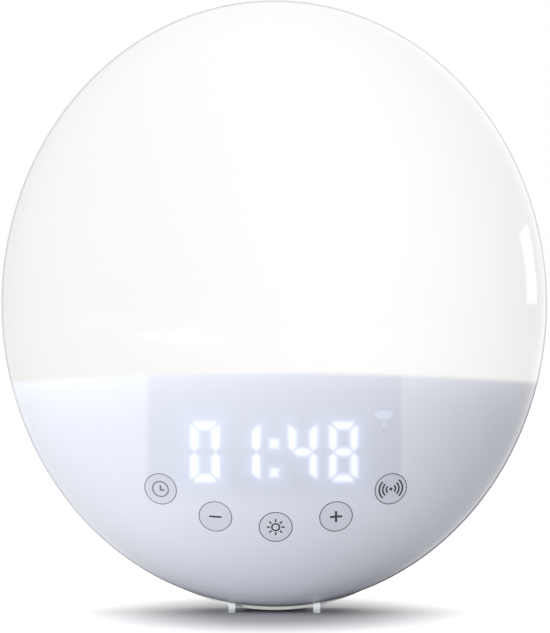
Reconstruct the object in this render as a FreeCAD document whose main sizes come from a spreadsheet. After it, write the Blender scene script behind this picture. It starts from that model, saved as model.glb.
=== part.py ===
import FreeCAD, Part
import math
import os

import Sketcher
from FreeCAD import Placement, Rotation, Vector

# Sunrise alarm clock: an oval lamp dome over a shallow rear housing, standing on two clear foot strips.
# X runs left to right, the front of the clock faces -Y, and Z is up from the table.
# The origin is on the table, under the middle of the whole clock.

os.makedirs("parts", exist_ok=True)
doc = FreeCAD.newDocument("SunriseAlarmClock")

# Driving sizes, in millimetres
SIZES = (
    ("half_width", 90.0, "middle of the oval to its side edge"),
    ("half_height", 100.0, "middle of the oval to its top edge"),
    ("front_depth", 48.0, "rim to the foremost point of the dome"),
    ("rear_depth", 42.0, "rim to the flat back"),
    ("rear_bulge", 52.0, "depth that the rear curve would reach without its flat"),
    ("rim_lift", 1.8, "table to the lowest point of the rim"),
    ("dome_wall", 2.5, "moulded wall of the dome"),
    ("housing_wall", 2.5, "moulded wall of the rear housing"),
    ("soft_bulge", 46.8, "depth that the flatter curve round the back would reach"),
    ("soft_spread", 26.0, "how far that flatter curve would reach beyond the outline"),
    ("flange_wide", 6.0, "rim flange, inwards from the outside"),
    ("flange_thick", 3.0, "rim flange, front to back"),
    ("inner_gap", 0.3, "air between the dome and what follows its curve"),
    ("foot_wide", 60.0, "moulded foot, left to right"),
    ("foot_deep", 28.0, "moulded foot, front to back"),
    ("foot_tall", 22.0, "moulded foot, up into the rear curve"),
    ("foot_curve", 69.0, "radius of the underside of the foot, seen from the front"),
    ("foot_clear", 0.7, "table to the underside of the foot"),
    ("strip_apart", 28.0, "between the middles of the two foot strips"),
    ("strip_wide", 2.1, "one foot strip, left to right"),
    ("strip_tall", 3.3, "one foot strip, bottom to top"),
    ("strip_ahead", 6.0, "foot strip in front of the rim"),
    ("strip_gap", 0.05, "foot strip to each wall of its groove"),
    ("chassis_thick", 2.0, "plate of the inner frame"),
    ("arch_top", 78.9, "table to the top of the divider, at its middle"),
    ("arch_rise", 3.2, "how far the divider drops at its ends"),
    ("arch_reach", 86.7, "middle of the divider to the point where that drop is taken"),
    ("baffle_thick", 1.6, "divider plate"),
    ("mask_thick", 1.2, "tinted inner mask"),
    ("window_wide", 84.0, "display window in the mask"),
    ("window_low", 39.8, "table to the window's lower edge"),
    ("window_high", 74.0, "table to the window's upper edge"),
    ("digit_wide", 10.0, "one digit"),
    ("digit_tall", 20.6, "one digit, the usual 0.8 inch size"),
    ("digit_stroke", 3.0, "width of one segment"),
    ("digit_joint", 0.35, "gap at each end of a segment"),
    ("digit_inner", 18.9, "between the middles of the two inner digits"),
    ("digit_pitch", 13.5, "from an inner digit to the outer one beside it"),
    ("digit_up", 52.75, "table to the middle of the digits"),
    ("colon_apart", 10.0, "between the two dots of the colon"),
    ("colon_dot", 3.2, "one dot of the colon"),
    ("display_wide", 62.0, "display block"),
    ("display_tall", 24.4, "display block"),
    ("display_deep", 7.4, "display block"),
    ("segment_deep", 5.0, "light guide of one segment"),
    ("segment_gap", 0.05, "light guide to its pocket"),
    ("front_board_at", 23.0, "rim to the face of the front board"),
    ("front_board_wide", 92.0, "front board"),
    ("front_board_high", 73.6, "table to the top of the front board"),
    ("board_thick", 1.6, "every circuit board"),
    ("key_ring", 64.1, "radius of the arc that the touch keys lie on"),
    ("key_arc_up", 92.2, "table to the middle of that arc"),
    ("key_turn_inner", 18.2, "degrees from the middle key to the next"),
    ("key_turn_outer", 36.6, "degrees from the middle key to the outer one"),
    ("key_pad", 10.4, "contact pad of one touch key"),
    ("pad_gap", 0.1, "contact pad to the dome"),
    ("mask_hole_gap", 0.8, "contact pad to its hole in the mask"),
    ("lamp_inset", 32.0, "lamp board inside the outline of the clock"),
    ("lamp_above", 7.0, "top of the divider to the lamp board"),
    ("sheet_thick", 0.5, "reflector sheet"),
    ("sheet_inset", 1.0, "reflector sheet inside the edge of the lamp board"),
    ("lamp_wide_led", 3.5, "one lamp emitter, left to right"),
    ("lamp_tall_led", 2.8, "one lamp emitter, bottom to top"),
    ("lamp_deep_led", 0.8, "one lamp emitter, front to back"),
    ("lamp_pitch", 16.0, "between two lamp emitters"),
    ("lamp_hole", 6.0, "hole in the reflector sheet round one emitter"),
    ("lamp_edge", 6.0, "outermost emitters to the edge of the lamp board"),
    ("post_beside", 32.0, "side edge of the clock to a housing screw"),
    ("post_below", 48.0, "top or bottom of the clock to a housing screw"),
    ("post_wide", 10.0, "screw post of the rear housing"),
    ("well_wide", 7.2, "screw well, open at the back"),
    ("well_floor", 3.0, "floor of the screw well"),
    ("boss_deep", 8.0, "screw boss of the inner frame"),
    ("boss_wide", 7.6, "screw boss of the inner frame"),
    ("screw_wide", 3.0, "housing screw"),
    ("screw_slack", 0.2, "housing screw to its clearance hole, all round"),
    ("head_wide", 5.6, "head of a housing screw"),
    ("head_tall", 2.2, "head of a housing screw"),
    ("small_screw", 2.0, "board screw"),
    ("small_head", 4.0, "head of a board screw"),
    ("small_head_tall", 1.4, "head of a board screw"),
    ("small_post", 6.0, "post that a board rests on"),
    ("thread_deep", 5.0, "board screw in its post"),
    ("front_post_inset", 4.5, "top and side of the front board to its upper posts"),
    ("front_post_in", 12.5, "upper post of the front board in to the lower one"),
    ("front_post_drop", 33.3, "upper post of the front board down to the lower one"),
    ("main_board_wide", 78.0, "main board"),
    ("main_board_tall", 52.0, "main board"),
    ("main_board_drop", 12.0, "middle of the oval to the middle of the main board"),
    ("main_post_deep", 6.0, "posts that the main board rests on"),
    ("main_post_inset", 4.0, "main board's edge to its screws"),
    ("speaker_up", 20.0, "middle of the oval to the middle of the speaker"),
    ("speaker_wide", 50.0, "speaker frame"),
    ("speaker_rim", 4.0, "flat rim of the speaker frame"),
    ("speaker_plate", 1.2, "sheet of the speaker frame"),
    ("basket_deep", 12.0, "basket of the speaker, front to back"),
    ("basket_back", 24.0, "basket where it meets the magnet"),
    ("magnet_wide", 30.0, "speaker magnet"),
    ("magnet_deep", 8.0, "speaker magnet"),
    ("cone_deep", 7.0, "speaker cone"),
    ("cone_neck", 13.0, "speaker cone where the coil is"),
    ("cone_sheet", 0.6, "speaker cone"),
    ("gasket_thick", 1.2, "foam ring between speaker and housing"),
    ("cloth_thick", 0.4, "acoustic cloth behind the grille"),
    ("grille_hole", 2.6, "one hole of the grille"),
    ("grille_pitch", 5.2, "between two rings of grille holes"),
    ("door_wide", 34.0, "battery door"),
    ("door_thick", 1.8, "battery door"),
    ("door_tall", 39.0, "battery door"),
    ("door_over_jack", 12.0, "middle of the power inlet up to the battery door"),
    ("door_gap", 0.25, "battery door to the edges of its recess"),
    ("door_lift", 0.1, "battery door to the floor of its recess"),
    ("grip_drop", 6.0, "top of the battery door to its first grip groove"),
    ("grip_apart", 3.0, "between two grip grooves of the battery door"),
    ("grip_wide", 12.0, "one grip groove of the battery door, left to right"),
    ("grip_tall", 1.2, "one grip groove of the battery door, bottom to top"),
    ("grip_deep", 0.6, "depth of a grip groove"),
    ("cell_wide", 20.0, "backup coin cell"),
    ("cell_thick", 3.2, "backup coin cell"),
    ("cell_gap", 0.4, "coin cell to the wall of its pocket"),
    ("cell_in_door", 23.0, "lower end of the battery door up to the middle of the coin cell"),
    ("cell_air", 0.1, "coin cell to the battery door"),
    ("pocket_wall", 2.0, "wall of the coin cell's pocket"),
    ("contact_thick", 0.3, "battery contact strip"),
    ("contact_wide", 4.0, "battery contact strip"),
    ("jack_rise", 24.0, "bottom of the rim up to the middle of the power inlet"),
    ("jack_floor", 28.0, "rim to the floor of the inlet's notch"),
    ("notch_wide", 15.0, "notch round the power inlet"),
    ("notch_tall", 14.0, "notch round the power inlet"),
    ("notch_wall", 2.5, "wall of the notch"),
    ("jack_wide", 9.0, "body of the power inlet"),
    ("jack_tall", 11.0, "body of the power inlet"),
    ("jack_deep", 13.0, "body of the power inlet"),
    ("jack_nose", 7.6, "round nose of the power inlet"),
    ("jack_slack", 0.2, "nose to its hole, all round"),
    ("jack_bore", 5.6, "bore of the power inlet"),
    ("jack_bore_deep", 9.5, "bore of the power inlet"),
    ("jack_pin", 2.1, "pin of the power inlet"),
    ("jack_pin_short", 1.2, "pin's tip, behind the mouth"),
    ("vent_wide", 1.8, "one vent slot"),
    ("vent_tall", 12.0, "one vent slot"),
    ("vent_apart", 6.0, "between two vent slots"),
    ("vent_below", 24.0, "top of the clock down to the vent slots"),
    ("sign_inset", 9.8, "side of the front board to the wireless sign"),
    ("sign_wide", 6.0, "light guide of the wireless sign"),
    ("sign_tall", 5.0, "light guide of the wireless sign"),
    ("sign_up", 62.4, "table to the middle of the wireless sign"),
    ("sign_sunk", 3.0, "front of the display to the front of the wireless sign"),
    ("cable_wide", 20.0, "slot in the inner frame for the display cable"),
    ("cable_tall", 5.0, "slot in the inner frame for the display cable"),
    ("cable_up", 56.0, "table to the cable slot"),
    ("over", 1.0, "how far a cutting tool starts outside what it cuts"),
)

# Sizes worked out from the driving ones, as formulas over them
DERIVED = (
    ("split_y", "(front_depth - rear_depth) / 2"),
    ("middle_z", "half_height + rim_lift"),
    ("back_y", "split_y + rear_depth"),
    ("post_across", "half_width - post_beside"),
    ("post_up", "half_height - post_below"),
    ("inside_back_y", "back_y - housing_wall"),
    ("dome_in_x", "half_width - dome_wall"),
    ("dome_in_z", "half_height - dome_wall"),
    ("dome_in_y", "front_depth - dome_wall"),
    ("chassis_front_y", "split_y - chassis_thick"),
    ("arch_radius", "(arch_reach ^ 2 + arch_rise ^ 2) / (2 * arch_rise)"),
    ("front_board_y", "split_y - front_board_at"),
    ("display_front_y", "front_board_y - display_deep"),
    ("lamp_board_y", "chassis_front_y - board_thick"),
    ("lamp_wide", "half_width - lamp_inset"),
    ("lamp_high", "half_height - lamp_inset"),
    ("front_post_x", "front_board_wide / 2 - front_post_inset"),
    ("front_post_z", "front_board_high - front_post_inset"),
    ("sign_x", "front_board_wide / 2 - sign_inset"),
    ("main_board_y", "split_y + main_post_deep"),
    ("main_board_z", "middle_z - main_board_drop"),
    ("boss_end_y", "split_y + boss_deep"),
    ("speaker_z", "middle_z + speaker_up"),
    ("speaker_front_y", "inside_back_y - gasket_thick"),
    ("jack_down", "half_height - jack_rise"),
    ("door_low", "jack_down - door_over_jack"),
    ("door_top", "door_low - door_tall"),
    ("cell_down", "door_low - cell_in_door"),
    ("vent_up", "half_height - vent_below"),
    ("door_floor_y", "back_y - door_thick - door_lift"),
    ("cell_floor_y", "door_floor_y - cell_thick - contact_thick - cell_air"),
    ("jack_y", "split_y + jack_floor"),
    ("jack_z", "middle_z - jack_down"),
)

sheet = doc.addObject("Spreadsheet::Sheet", "Sizes")
for row, (alias, number, meaning) in enumerate(SIZES, start=1):
    sheet.set(f"A{row}", alias)
    sheet.set(f"B{row}", str(number))
    sheet.setAlias(f"B{row}", alias)
    sheet.set(f"C{row}", meaning)
for row, (alias, formula) in enumerate(DERIVED, start=len(SIZES) + 2):
    sheet.set(f"A{row}", alias)
    sheet.set(f"B{row}", "=" + formula)
    sheet.setAlias(f"B{row}", alias)
doc.recompute()


def size(alias):
    """A size from the sheet, as a number."""
    return float(getattr(sheet, alias))


TO_FRONT = Rotation(Vector(1, 0, 0), 90)
TO_BACK = Rotation(Vector(1, 0, 0), -90)
OVAL_TURN = Rotation(Vector(1, 1, 1), 240)
SUBPARTS = []


def bind(thing, **formulas):
    """Tie properties of an object to formulas over the sheet; x, y and z are its place."""
    for name, formula in formulas.items():
        path = f"Placement.Base.{name}" if name in "xyz" else name
        thing.setExpression(path, formula)
    return thing


def S(formula):
    """A formula with every size's name written as the sheet's own."""
    words = []
    word = ""
    for letter in formula + " ":
        if letter.isalnum() or letter in "_.":
            word += letter
            continue
        known = word in KNOWN
        words.append(("Sizes." + word if known else word) + letter)
        word = ""
    return "".join(words).strip()


KNOWN = {alias for alias, _, _ in SIZES} | {alias for alias, _ in DERIVED}


def block(name, wide, deep, tall, x, y, z):
    """A box centred on x, with its front face at y and its bottom at z."""
    thing = doc.addObject("Part::Box", name)
    bind(thing, Length=S(wide), Width=S(deep), Height=S(tall))
    return bind(thing, x=S(f"({x}) - ({wide}) / 2"), y=S(y), z=S(z))


def rod(name, across, length, x, y, z):
    """A round bar that runs back from y, of the given diameter."""
    thing = doc.addObject("Part::Cylinder", name)
    thing.Placement = Placement(Vector(), TO_BACK)
    bind(thing, Radius=S(f"({across}) / 2"), Height=S(length))
    return bind(thing, x=S(x), y=S(y), z=S(z))


def bowl(name, across, high, depth, cap="", to_back=False):
    """Half of an ellipsoid on the rim's plane; with a cap it is cut flat at that depth."""
    thing = doc.addObject("Part::Ellipsoid", name)
    thing.Angle1 = 0
    thing.Placement = Placement(Vector(), TO_BACK if to_back else TO_FRONT)
    bind(thing, Radius1=S(depth), Radius2=S(across), Radius3=S(high))
    if cap:
        bind(thing, Angle2=S(f"asin(({cap}) / ({depth}))"))
    return bind(thing, y=S("split_y"), z=S("middle_z"))


def oval(name, across, high, y, thick):
    """A flat plate with the clock's oval outline, its front face at y."""
    rim = doc.addObject("Part::Ellipse", name + "_rim")
    upright = evaluate(high) >= evaluate(across)
    rim.Placement = Placement(Vector(), OVAL_TURN if upright else TO_FRONT)
    long, short = (high, across) if upright else (across, high)
    bind(rim, MajorRadius=S(long), MinorRadius=S(short))
    bind(rim, y=S(y), z=S("middle_z"))
    plate = doc.addObject("Part::Extrusion", name)
    plate.Base = rim
    plate.DirMode = "Custom"
    plate.Dir = Vector(0, 1, 0)
    plate.Solid = True
    return bind(plate, LengthFwd=S(thick))


def cut(name, base, tool):
    thing = doc.addObject("Part::Cut", name)
    thing.Base = base
    thing.Tool = tool
    return thing


def common(name, *pieces):
    thing = doc.addObject("Part::MultiCommon", name)
    thing.Shapes = list(pieces)
    return thing


def fuse(name, *pieces):
    thing = doc.addObject("Part::MultiFuse", name)
    thing.Shapes = list(pieces)
    return thing


def group(name, *pieces):
    thing = doc.addObject("Part::Compound", name)
    thing.Links = list(pieces)
    return thing


def profile(body, name, role, corners):
    """A closed sketch of straight sides; each corner is a pair of formulas over the sheet."""
    sketch = body.newObject("Sketcher::SketchObject", name)
    plane = [item for item in body.Origin.OriginFeatures if item.Role == role][0]
    sketch.AttachmentSupport = [(plane, "")]
    sketch.MapMode = "FlatFace"
    spots = []
    for across, up in corners:
        spots.append(Vector(evaluate(across), evaluate(up), 0))
    count = len(spots)
    for index in range(count):
        sketch.addGeometry(Part.LineSegment(spots[index], spots[(index + 1) % count]), False)
    for index in range(count):
        sketch.addConstraint(Sketcher.Constraint("Coincident", index, 2, (index + 1) % count, 1))
    for index, (across, up) in enumerate(corners):
        for kind, formula, place in (
            ("DistanceX", across, spots[index].x),
            ("DistanceY", up, spots[index].y),
        ):
            number = sketch.addConstraint(Sketcher.Constraint(kind, -1, 1, index, 1, place))
            sketch.setExpression(f"Constraints[{number}]", S(formula))
    return sketch


def evaluate(formula):
    """The number that a formula over the sheet gives."""
    return float(sheet.evalExpression(S(formula).replace("Sizes.", "")))


def turned(label, corners, y, z):
    """A body of revolution about the front-to-back line at z; corners are (radius, distance back)."""
    body = doc.addObject("PartDesign::Body", label)
    sketch = profile(body, label + "_profile", "XY_Plane", corners)
    spin = body.newObject("PartDesign::Revolution", label + "_spin")
    spin.Profile = sketch
    spin.ReferenceAxis = (sketch, ["V_Axis"])
    spin.Angle = 360
    sketch.Visibility = False
    return bind(body, y=S(y), z=S(z))


def subpart(label, thing):
    """Register a finished piece under the name that its file gets."""
    thing.Label = label
    SUBPARTS.append((label, thing))
    return thing


def solid(name, shape):
    thing = doc.addObject("Part::Feature", name)
    thing.Shape = shape
    return thing


# Opal dome: the whole front of the clock in one moulding, which the lamp and the digits shine through
dome_outside = bowl("DomeOutside", "half_width", "half_height", "front_depth")
dome_inside = bowl("DomeInside", "dome_in_x", "dome_in_z", "dome_in_y")
subpart("front_dome", cut("FrontDome", dome_outside, dome_inside))

# Rear housing: a bowl with a flat back; a flatter bowl takes off the corner where the two meet
rear_bowl = bowl("RearBowl", "half_width", "half_height", "rear_bulge", "rear_depth", True)
back_soft = bowl(
    "BackSoft", "half_width + soft_spread", "half_height + soft_spread", "soft_bulge", "rear_depth", True
)
rear_outside = common("RearOutside", rear_bowl, back_soft)
rear_inside = bowl(
    "RearInside",
    "half_width - housing_wall",
    "half_height - housing_wall",
    "rear_bulge - housing_wall",
    "rear_depth - housing_wall",
    True,
)

# The foot is moulded with the housing; from the front only a thin crescent of it shows
foot_barrel = rod(
    "FootBarrel", "2 * foot_curve", "foot_deep", "0", "split_y", "foot_clear + foot_curve"
)
foot_limits = block("FootLimits", "foot_wide", "foot_deep", "foot_tall", "0", "split_y", "0")
foot = common("Foot", foot_barrel, foot_limits)
rear_solid = fuse("RearSolid", rear_outside, foot)

flange_outside = oval(
    "FlangeOutside",
    "half_width - housing_wall / 2",
    "half_height - housing_wall / 2",
    "split_y",
    "flange_thick",
)
flange_inside = oval(
    "FlangeInside",
    "half_width - flange_wide",
    "half_height - flange_wide",
    "split_y",
    "flange_thick",
)
flange = cut("Flange", flange_outside, flange_inside)

POST_SIDES = ((-1, -1), (1, -1), (-1, 1), (1, 1))
posts = []
wells = []
for number, (side, rise) in enumerate(POST_SIDES):
    x = f"{side} * post_across"
    z = f"middle_z + {rise} * post_up"
    posts.append(rod(f"Post{number}", "post_wide", "back_y - boss_end_y", x, "boss_end_y", z))
    wells.append(rod(f"Well{number}", "well_wide", "rear_depth", x, "boss_end_y + well_floor", z))
    across = "screw_wide + 2 * screw_slack"
    wells.append(rod(f"ScrewWay{number}", across, "rear_depth", x, "boss_end_y - over", z))

cell_pocket_wall = rod(
    "CellPocketWall",
    "cell_wide + 2 * cell_gap + 2 * pocket_wall",
    "back_y - cell_floor_y",
    "0",
    "cell_floor_y - pocket_wall",
    "middle_z - cell_down",
)
notch_walls = block(
    "NotchWalls",
    "notch_wide + 2 * notch_wall",
    "rear_depth - jack_floor + notch_wall",
    "notch_tall + 2 * notch_wall",
    "0",
    "jack_y - notch_wall",
    "jack_z - notch_tall / 2 - notch_wall",
)
# The hollow leaves the flange, the posts and the two inner walls standing
inner_walls = fuse("InnerWalls", flange, *posts, cell_pocket_wall, notch_walls)
shell = cut("RearShell", rear_solid, cut("RearRoom", rear_inside, inner_walls))

# Speaker grille: rings of round holes about the speaker's middle, with the holes of each ring counted
GRILLE_RINGS = (1, 6, 12, 18)
grille_holes = []
for ring, count in enumerate(GRILLE_RINGS):
    for number in range(count):
        angle = 2 * math.pi * number / count
        spot = Vector(
            ring * size("grille_pitch") * math.cos(angle),
            size("back_y") - 2 * size("housing_wall"),
            size("speaker_z") + ring * size("grille_pitch") * math.sin(angle),
        )
        deep = 3 * size("housing_wall")
        hole = Part.makeCylinder(size("grille_hole") / 2, deep, spot, Vector(0, 1, 0))
        grille_holes.append(hole)
grille = solid("GrilleHoles", Part.makeCompound(grille_holes))

door_recess = block(
    "DoorRecess",
    "door_wide + 2 * door_gap",
    "door_thick * 4",
    "rear_depth + door_gap",
    "0",
    "door_floor_y",
    "middle_z - door_top - rear_depth",
)
cell_pocket = rod(
    "CellPocket",
    "cell_wide + 2 * cell_gap",
    "door_floor_y - cell_floor_y + over",
    "0",
    "cell_floor_y",
    "middle_z - cell_down",
)
notch = block(
    "Notch", "notch_wide", "rear_depth", "notch_tall", "0", "jack_y", "jack_z - notch_tall / 2"
)
nose_hole = rod(
    "NoseHole",
    "jack_nose + 2 * jack_slack",
    "notch_wall + 2 * over",
    "0",
    "jack_y - notch_wall - over",
    "jack_z",
)
VENTS = 7
vents = []
for number in range(VENTS):
    offset = number - (VENTS - 1) / 2
    vents.append(
        block(
            f"Vent{number}",
            "vent_wide",
            "rear_depth",
            "vent_tall",
            f"{offset} * vent_apart",
            "split_y + rear_depth / 3",
            "middle_z + vent_up - vent_tall / 2",
        )
    )
grooves = []
for side in (-1, 1):
    grooves.append(
        block(
            f"Groove{(side + 1) // 2}",
            "strip_wide + 2 * strip_gap",
            "foot_deep + 2 * over",
            "strip_tall + over",
            f"{side} * strip_apart / 2",
            "split_y - over",
            "-over",
        )
    )
rear_tools = fuse(
    "RearTools", *wells, door_recess, cell_pocket, notch, nose_hole, *vents, *grooves
)
rear_cut = cut("RearCut", shell, rear_tools)
subpart("rear_housing", cut("RearHousing", rear_cut, grille))

# Clear foot strips: pressed into grooves of the foot, with their tips just ahead of the rim
strip_room = bowl(
    "StripRoom",
    "half_width + inner_gap",
    "half_height + inner_gap",
    "front_depth + inner_gap",
)
for side, label in ((-1, "foot_strip_left"), (1, "foot_strip_right")):
    bar = block(
        "StripBar" + label[11:],
        "strip_wide",
        "strip_ahead + foot_deep",
        "strip_tall",
        f"{side} * strip_apart / 2",
        "split_y - strip_ahead",
        "0",
    )
    subpart(label, cut("Strip" + label[11:], bar, strip_room))

# Inner frame: an oval plate that locates the dome and carries every board
plate = oval(
    "ChassisPlate",
    "dome_in_x - inner_gap",
    "dome_in_z - inner_gap",
    "chassis_front_y",
    "chassis_thick",
)
frame_pieces = [plate]
frame_holes = []
for number, (side, rise) in enumerate(POST_SIDES):
    x = f"{side} * post_across"
    z = f"middle_z + {rise} * post_up"
    frame_pieces.append(
        rod(f"Boss{number}", "boss_wide", "boss_deep + chassis_thick", x, "chassis_front_y", z)
    )
    frame_holes.append(rod(f"BossHole{number}", "screw_wide", "boss_deep", x, "split_y", z))
front_spots = []
for side in (-1, 1):
    front_spots.append((f"{side} * front_post_x", "front_post_z"))
    low_x = f"{side} * (front_post_x - front_post_in)"
    front_spots.append((low_x, "front_post_z - front_post_drop"))
main_spots = []
for side, rise in POST_SIDES:
    x = f"{side} * (main_board_wide / 2 - main_post_inset)"
    z = f"main_board_z + {rise} * (main_board_tall / 2 - main_post_inset)"
    main_spots.append((x, z))
front_back_y = "(front_board_y + board_thick)"
for number, (x, z) in enumerate(front_spots):
    reach = f"split_y - {front_back_y}"
    frame_pieces.append(rod(f"FrontPost{number}", "small_post", reach, x, front_back_y, z))
    frame_holes.append(rod(f"FrontPostHole{number}", "small_screw", "thread_deep", x, front_back_y, z))
for number, (x, z) in enumerate(main_spots):
    frame_pieces.append(rod(f"MainPost{number}", "small_post", "main_post_deep", x, "split_y", z))
    start = "main_board_y - thread_deep"
    frame_holes.append(rod(f"MainPostHole{number}", "small_screw", "thread_deep", x, start, z))
cable_slot = block(
    "CableSlot",
    "cable_wide",
    "chassis_thick + 2 * over",
    "cable_tall",
    "0",
    "chassis_front_y - over",
    "cable_up",
)
frame_holes.append(cable_slot)
chassis = cut("Chassis", fuse("ChassisSolid", *frame_pieces), fuse("ChassisHoles", *frame_holes))
subpart("chassis", chassis)

# Divider: a gently arched wall between the lamp and the clock face, cut to the dome's curve
cavity = bowl(
    "Cavity", "dome_in_x - inner_gap", "dome_in_z - inner_gap", "dome_in_y - inner_gap"
)
in_front = block(
    "InFront",
    "2 * half_width",
    "front_depth",
    "2 * half_height",
    "0",
    "chassis_front_y - front_depth",
    "rim_lift",
)
arch_over = rod(
    "ArchOver", "2 * arch_radius", "front_depth", "0", "split_y - front_depth", "arch_top - arch_radius"
)
arch_under = rod(
    "ArchUnder",
    "2 * (arch_radius - baffle_thick)",
    "front_depth",
    "0",
    "split_y - front_depth",
    "arch_top - arch_radius",
)
arch = cut("Arch", arch_over, arch_under)
subpart("light_baffle", common("LightBaffle", cavity, in_front, arch))

# Tinted mask: a skin just inside the lower dome, with the display window and a hole for each key
mask_inside = bowl(
    "MaskInside",
    "dome_in_x - inner_gap - mask_thick",
    "dome_in_z - inner_gap - mask_thick",
    "dome_in_y - inner_gap - mask_thick",
)
below_arch = rod(
    "BelowArch",
    "2 * (arch_radius - baffle_thick - inner_gap)",
    "front_depth",
    "0",
    "split_y - front_depth",
    "arch_top - arch_radius",
)
mask_skin = common("MaskSkin", cut("MaskShell", cavity, mask_inside), in_front, below_arch)
window = block(
    "Window",
    "window_wide",
    "front_depth - front_board_at",
    "window_high - window_low",
    "0",
    "split_y - front_depth",
    "window_low",
)
KEY_SPOTS = []
for turn in ("-key_turn_outer", "-key_turn_inner", "0", "key_turn_inner", "key_turn_outer"):
    x = f"key_ring * sin({turn})"
    z = f"key_arc_up - key_ring * cos({turn})"
    KEY_SPOTS.append((x, z))
key_holes = []
for number, (x, z) in enumerate(KEY_SPOTS):
    across = "key_pad + 2 * mask_hole_gap"
    key_holes.append(
        rod(f"KeyHole{number}", across, "front_depth", x, "split_y - front_depth - over", z)
    )
subpart("display_mask", cut("DisplayMask", mask_skin, fuse("MaskHoles", window, *key_holes)))

# Front board: carries the display block and the five contact pads, its lower edge follows the mask
board_room = bowl(
    "BoardRoom",
    "dome_in_x - 2 * inner_gap - mask_thick",
    "dome_in_z - 2 * inner_gap - mask_thick",
    "dome_in_y - 2 * inner_gap - mask_thick",
)
board_blank = block(
    "FrontBoardBlank",
    "front_board_wide",
    "board_thick",
    "front_board_high - rim_lift",
    "0",
    "front_board_y",
    "rim_lift",
)
front_board_holes = []
for number, (x, z) in enumerate(front_spots):
    across = "small_screw + 2 * screw_slack"
    front_board_holes.append(
        rod(f"FrontBoardHole{number}", across, "3 * board_thick", x, "front_board_y - board_thick", z)
    )
front_board = cut(
    "FrontBoard",
    common("FrontBoardOutline", board_room, board_blank),
    fuse("FrontBoardHoles", *front_board_holes),
)
subpart("front_board", front_board)

pad_room = bowl("PadRoom", "dome_in_x - pad_gap", "dome_in_z - pad_gap", "dome_in_y - pad_gap")
pad_rods = []
for number, (x, z) in enumerate(KEY_SPOTS):
    pad_rods.append(
        rod(f"PadRod{number}", "key_pad", "front_depth", x, "front_board_y - front_depth", z)
    )
pads = [common(f"Pad{number}", pad_room, pad) for number, pad in enumerate(pad_rods)]
subpart("touch_pads", group("TouchPads", *pads))


# Four-digit display: a block with one pocket for each segment, and a light guide in every pocket
def segment_outlines(x, shrink):
    """The seven segments of one digit centred on x, each drawn in by shrink all round."""
    half = size("digit_stroke") / 2 - shrink
    reach_x = (size("digit_wide") - size("digit_stroke")) / 2
    reach_z = (size("digit_tall") - size("digit_stroke")) / 2
    middle = size("digit_up")
    joint = size("digit_joint") + shrink
    corners = {}
    for letter, up in (("a", reach_z), ("g", 0.0), ("d", -reach_z)):
        long = reach_x - joint
        corners[letter] = [
            (x - long, middle + up),
            (x - long + half, middle + up + half),
            (x + long - half, middle + up + half),
            (x + long, middle + up),
            (x + long - half, middle + up - half),
            (x - long + half, middle + up - half),
        ]
    for letter, side, rise in (("f", -1, 1), ("b", 1, 1), ("e", -1, -1), ("c", 1, -1)):
        centre = x + side * reach_x
        low = middle + min(0.0, rise * reach_z) + joint
        high = middle + max(0.0, rise * reach_z) - joint
        corners[letter] = [
            (centre, low),
            (centre + half, low + half),
            (centre + half, high - half),
            (centre, high),
            (centre - half, high - half),
            (centre - half, low + half),
        ]
    return corners


def prism(outline, y, deep):
    """A straight-sided block over an outline of (x, z) corners, its front at y."""
    spots = [Vector(x, y, z) for x, z in outline]
    wire = Part.makePolygon(spots + spots[:1])
    return Part.Face(wire).extrude(Vector(0, deep, 0))


LIT = {0: "abcdef", 1: "bc", 4: "bcfg", 8: "abcdefg"}
SHOWN = (0, 1, 4, 8)
inner_x = size("digit_inner") / 2
outer_x = inner_x + size("digit_pitch")
DIGIT_PLACES = (-outer_x, -inner_x, inner_x, outer_x)


def display_guides(shrink):
    """Prisms of every segment, lit ones and dark ones apart, and the two lit dots of the colon."""
    lit = []
    dark = []
    front = size("display_front_y")
    for place, digit in zip(DIGIT_PLACES, SHOWN):
        for letter, outline in segment_outlines(place, shrink).items():
            piece = prism(outline, front, size("segment_deep"))
            if letter in LIT[digit]:
                lit.append(piece)
            else:
                dark.append(piece)
    for rise in (-1, 1):
        middle = Vector(0, front, size("digit_up") + rise * size("colon_apart") / 2)
        radius = size("colon_dot") / 2 - shrink
        lit.append(Part.makeCylinder(radius, size("segment_deep"), middle, Vector(0, 1, 0)))
    return lit, dark


lit_pockets, dark_pockets = display_guides(0.0)
lit_guides, dark_guides = display_guides(size("segment_gap"))
display_block = block(
    "DisplayBlock",
    "display_wide",
    "display_deep",
    "display_tall",
    "0",
    "display_front_y",
    "digit_up - display_tall / 2",
)
pockets = solid("SegmentPockets", Part.makeCompound(lit_pockets + dark_pockets))
subpart("display_block", cut("DisplayHousing", display_block, pockets))
subpart("display_lit_segments", solid("LitSegments", Part.makeCompound(lit_guides)))
subpart("display_dark_segments", solid("DarkSegments", Part.makeCompound(dark_guides)))

# Wireless sign: its own small light guide beside the digits
sign = block(
    "WirelessSign",
    "sign_wide",
    "display_deep - sign_sunk",
    "sign_tall",
    "sign_x",
    "display_front_y + sign_sunk",
    "sign_up - sign_tall / 2",
)
subpart("wireless_sign", sign)

# Lamp board: a flat-bottomed oval board above the divider, with a grid of emitters
above_arch = block(
    "AboveArch",
    "2 * half_width",
    "2 * front_depth",
    "2 * half_height",
    "0",
    "-front_depth",
    "arch_top + lamp_above",
)
lamp_oval = oval("LampOval", "lamp_wide", "lamp_high", "lamp_board_y", "board_thick")
subpart("lamp_board", common("LampBoard", lamp_oval, above_arch))

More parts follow.
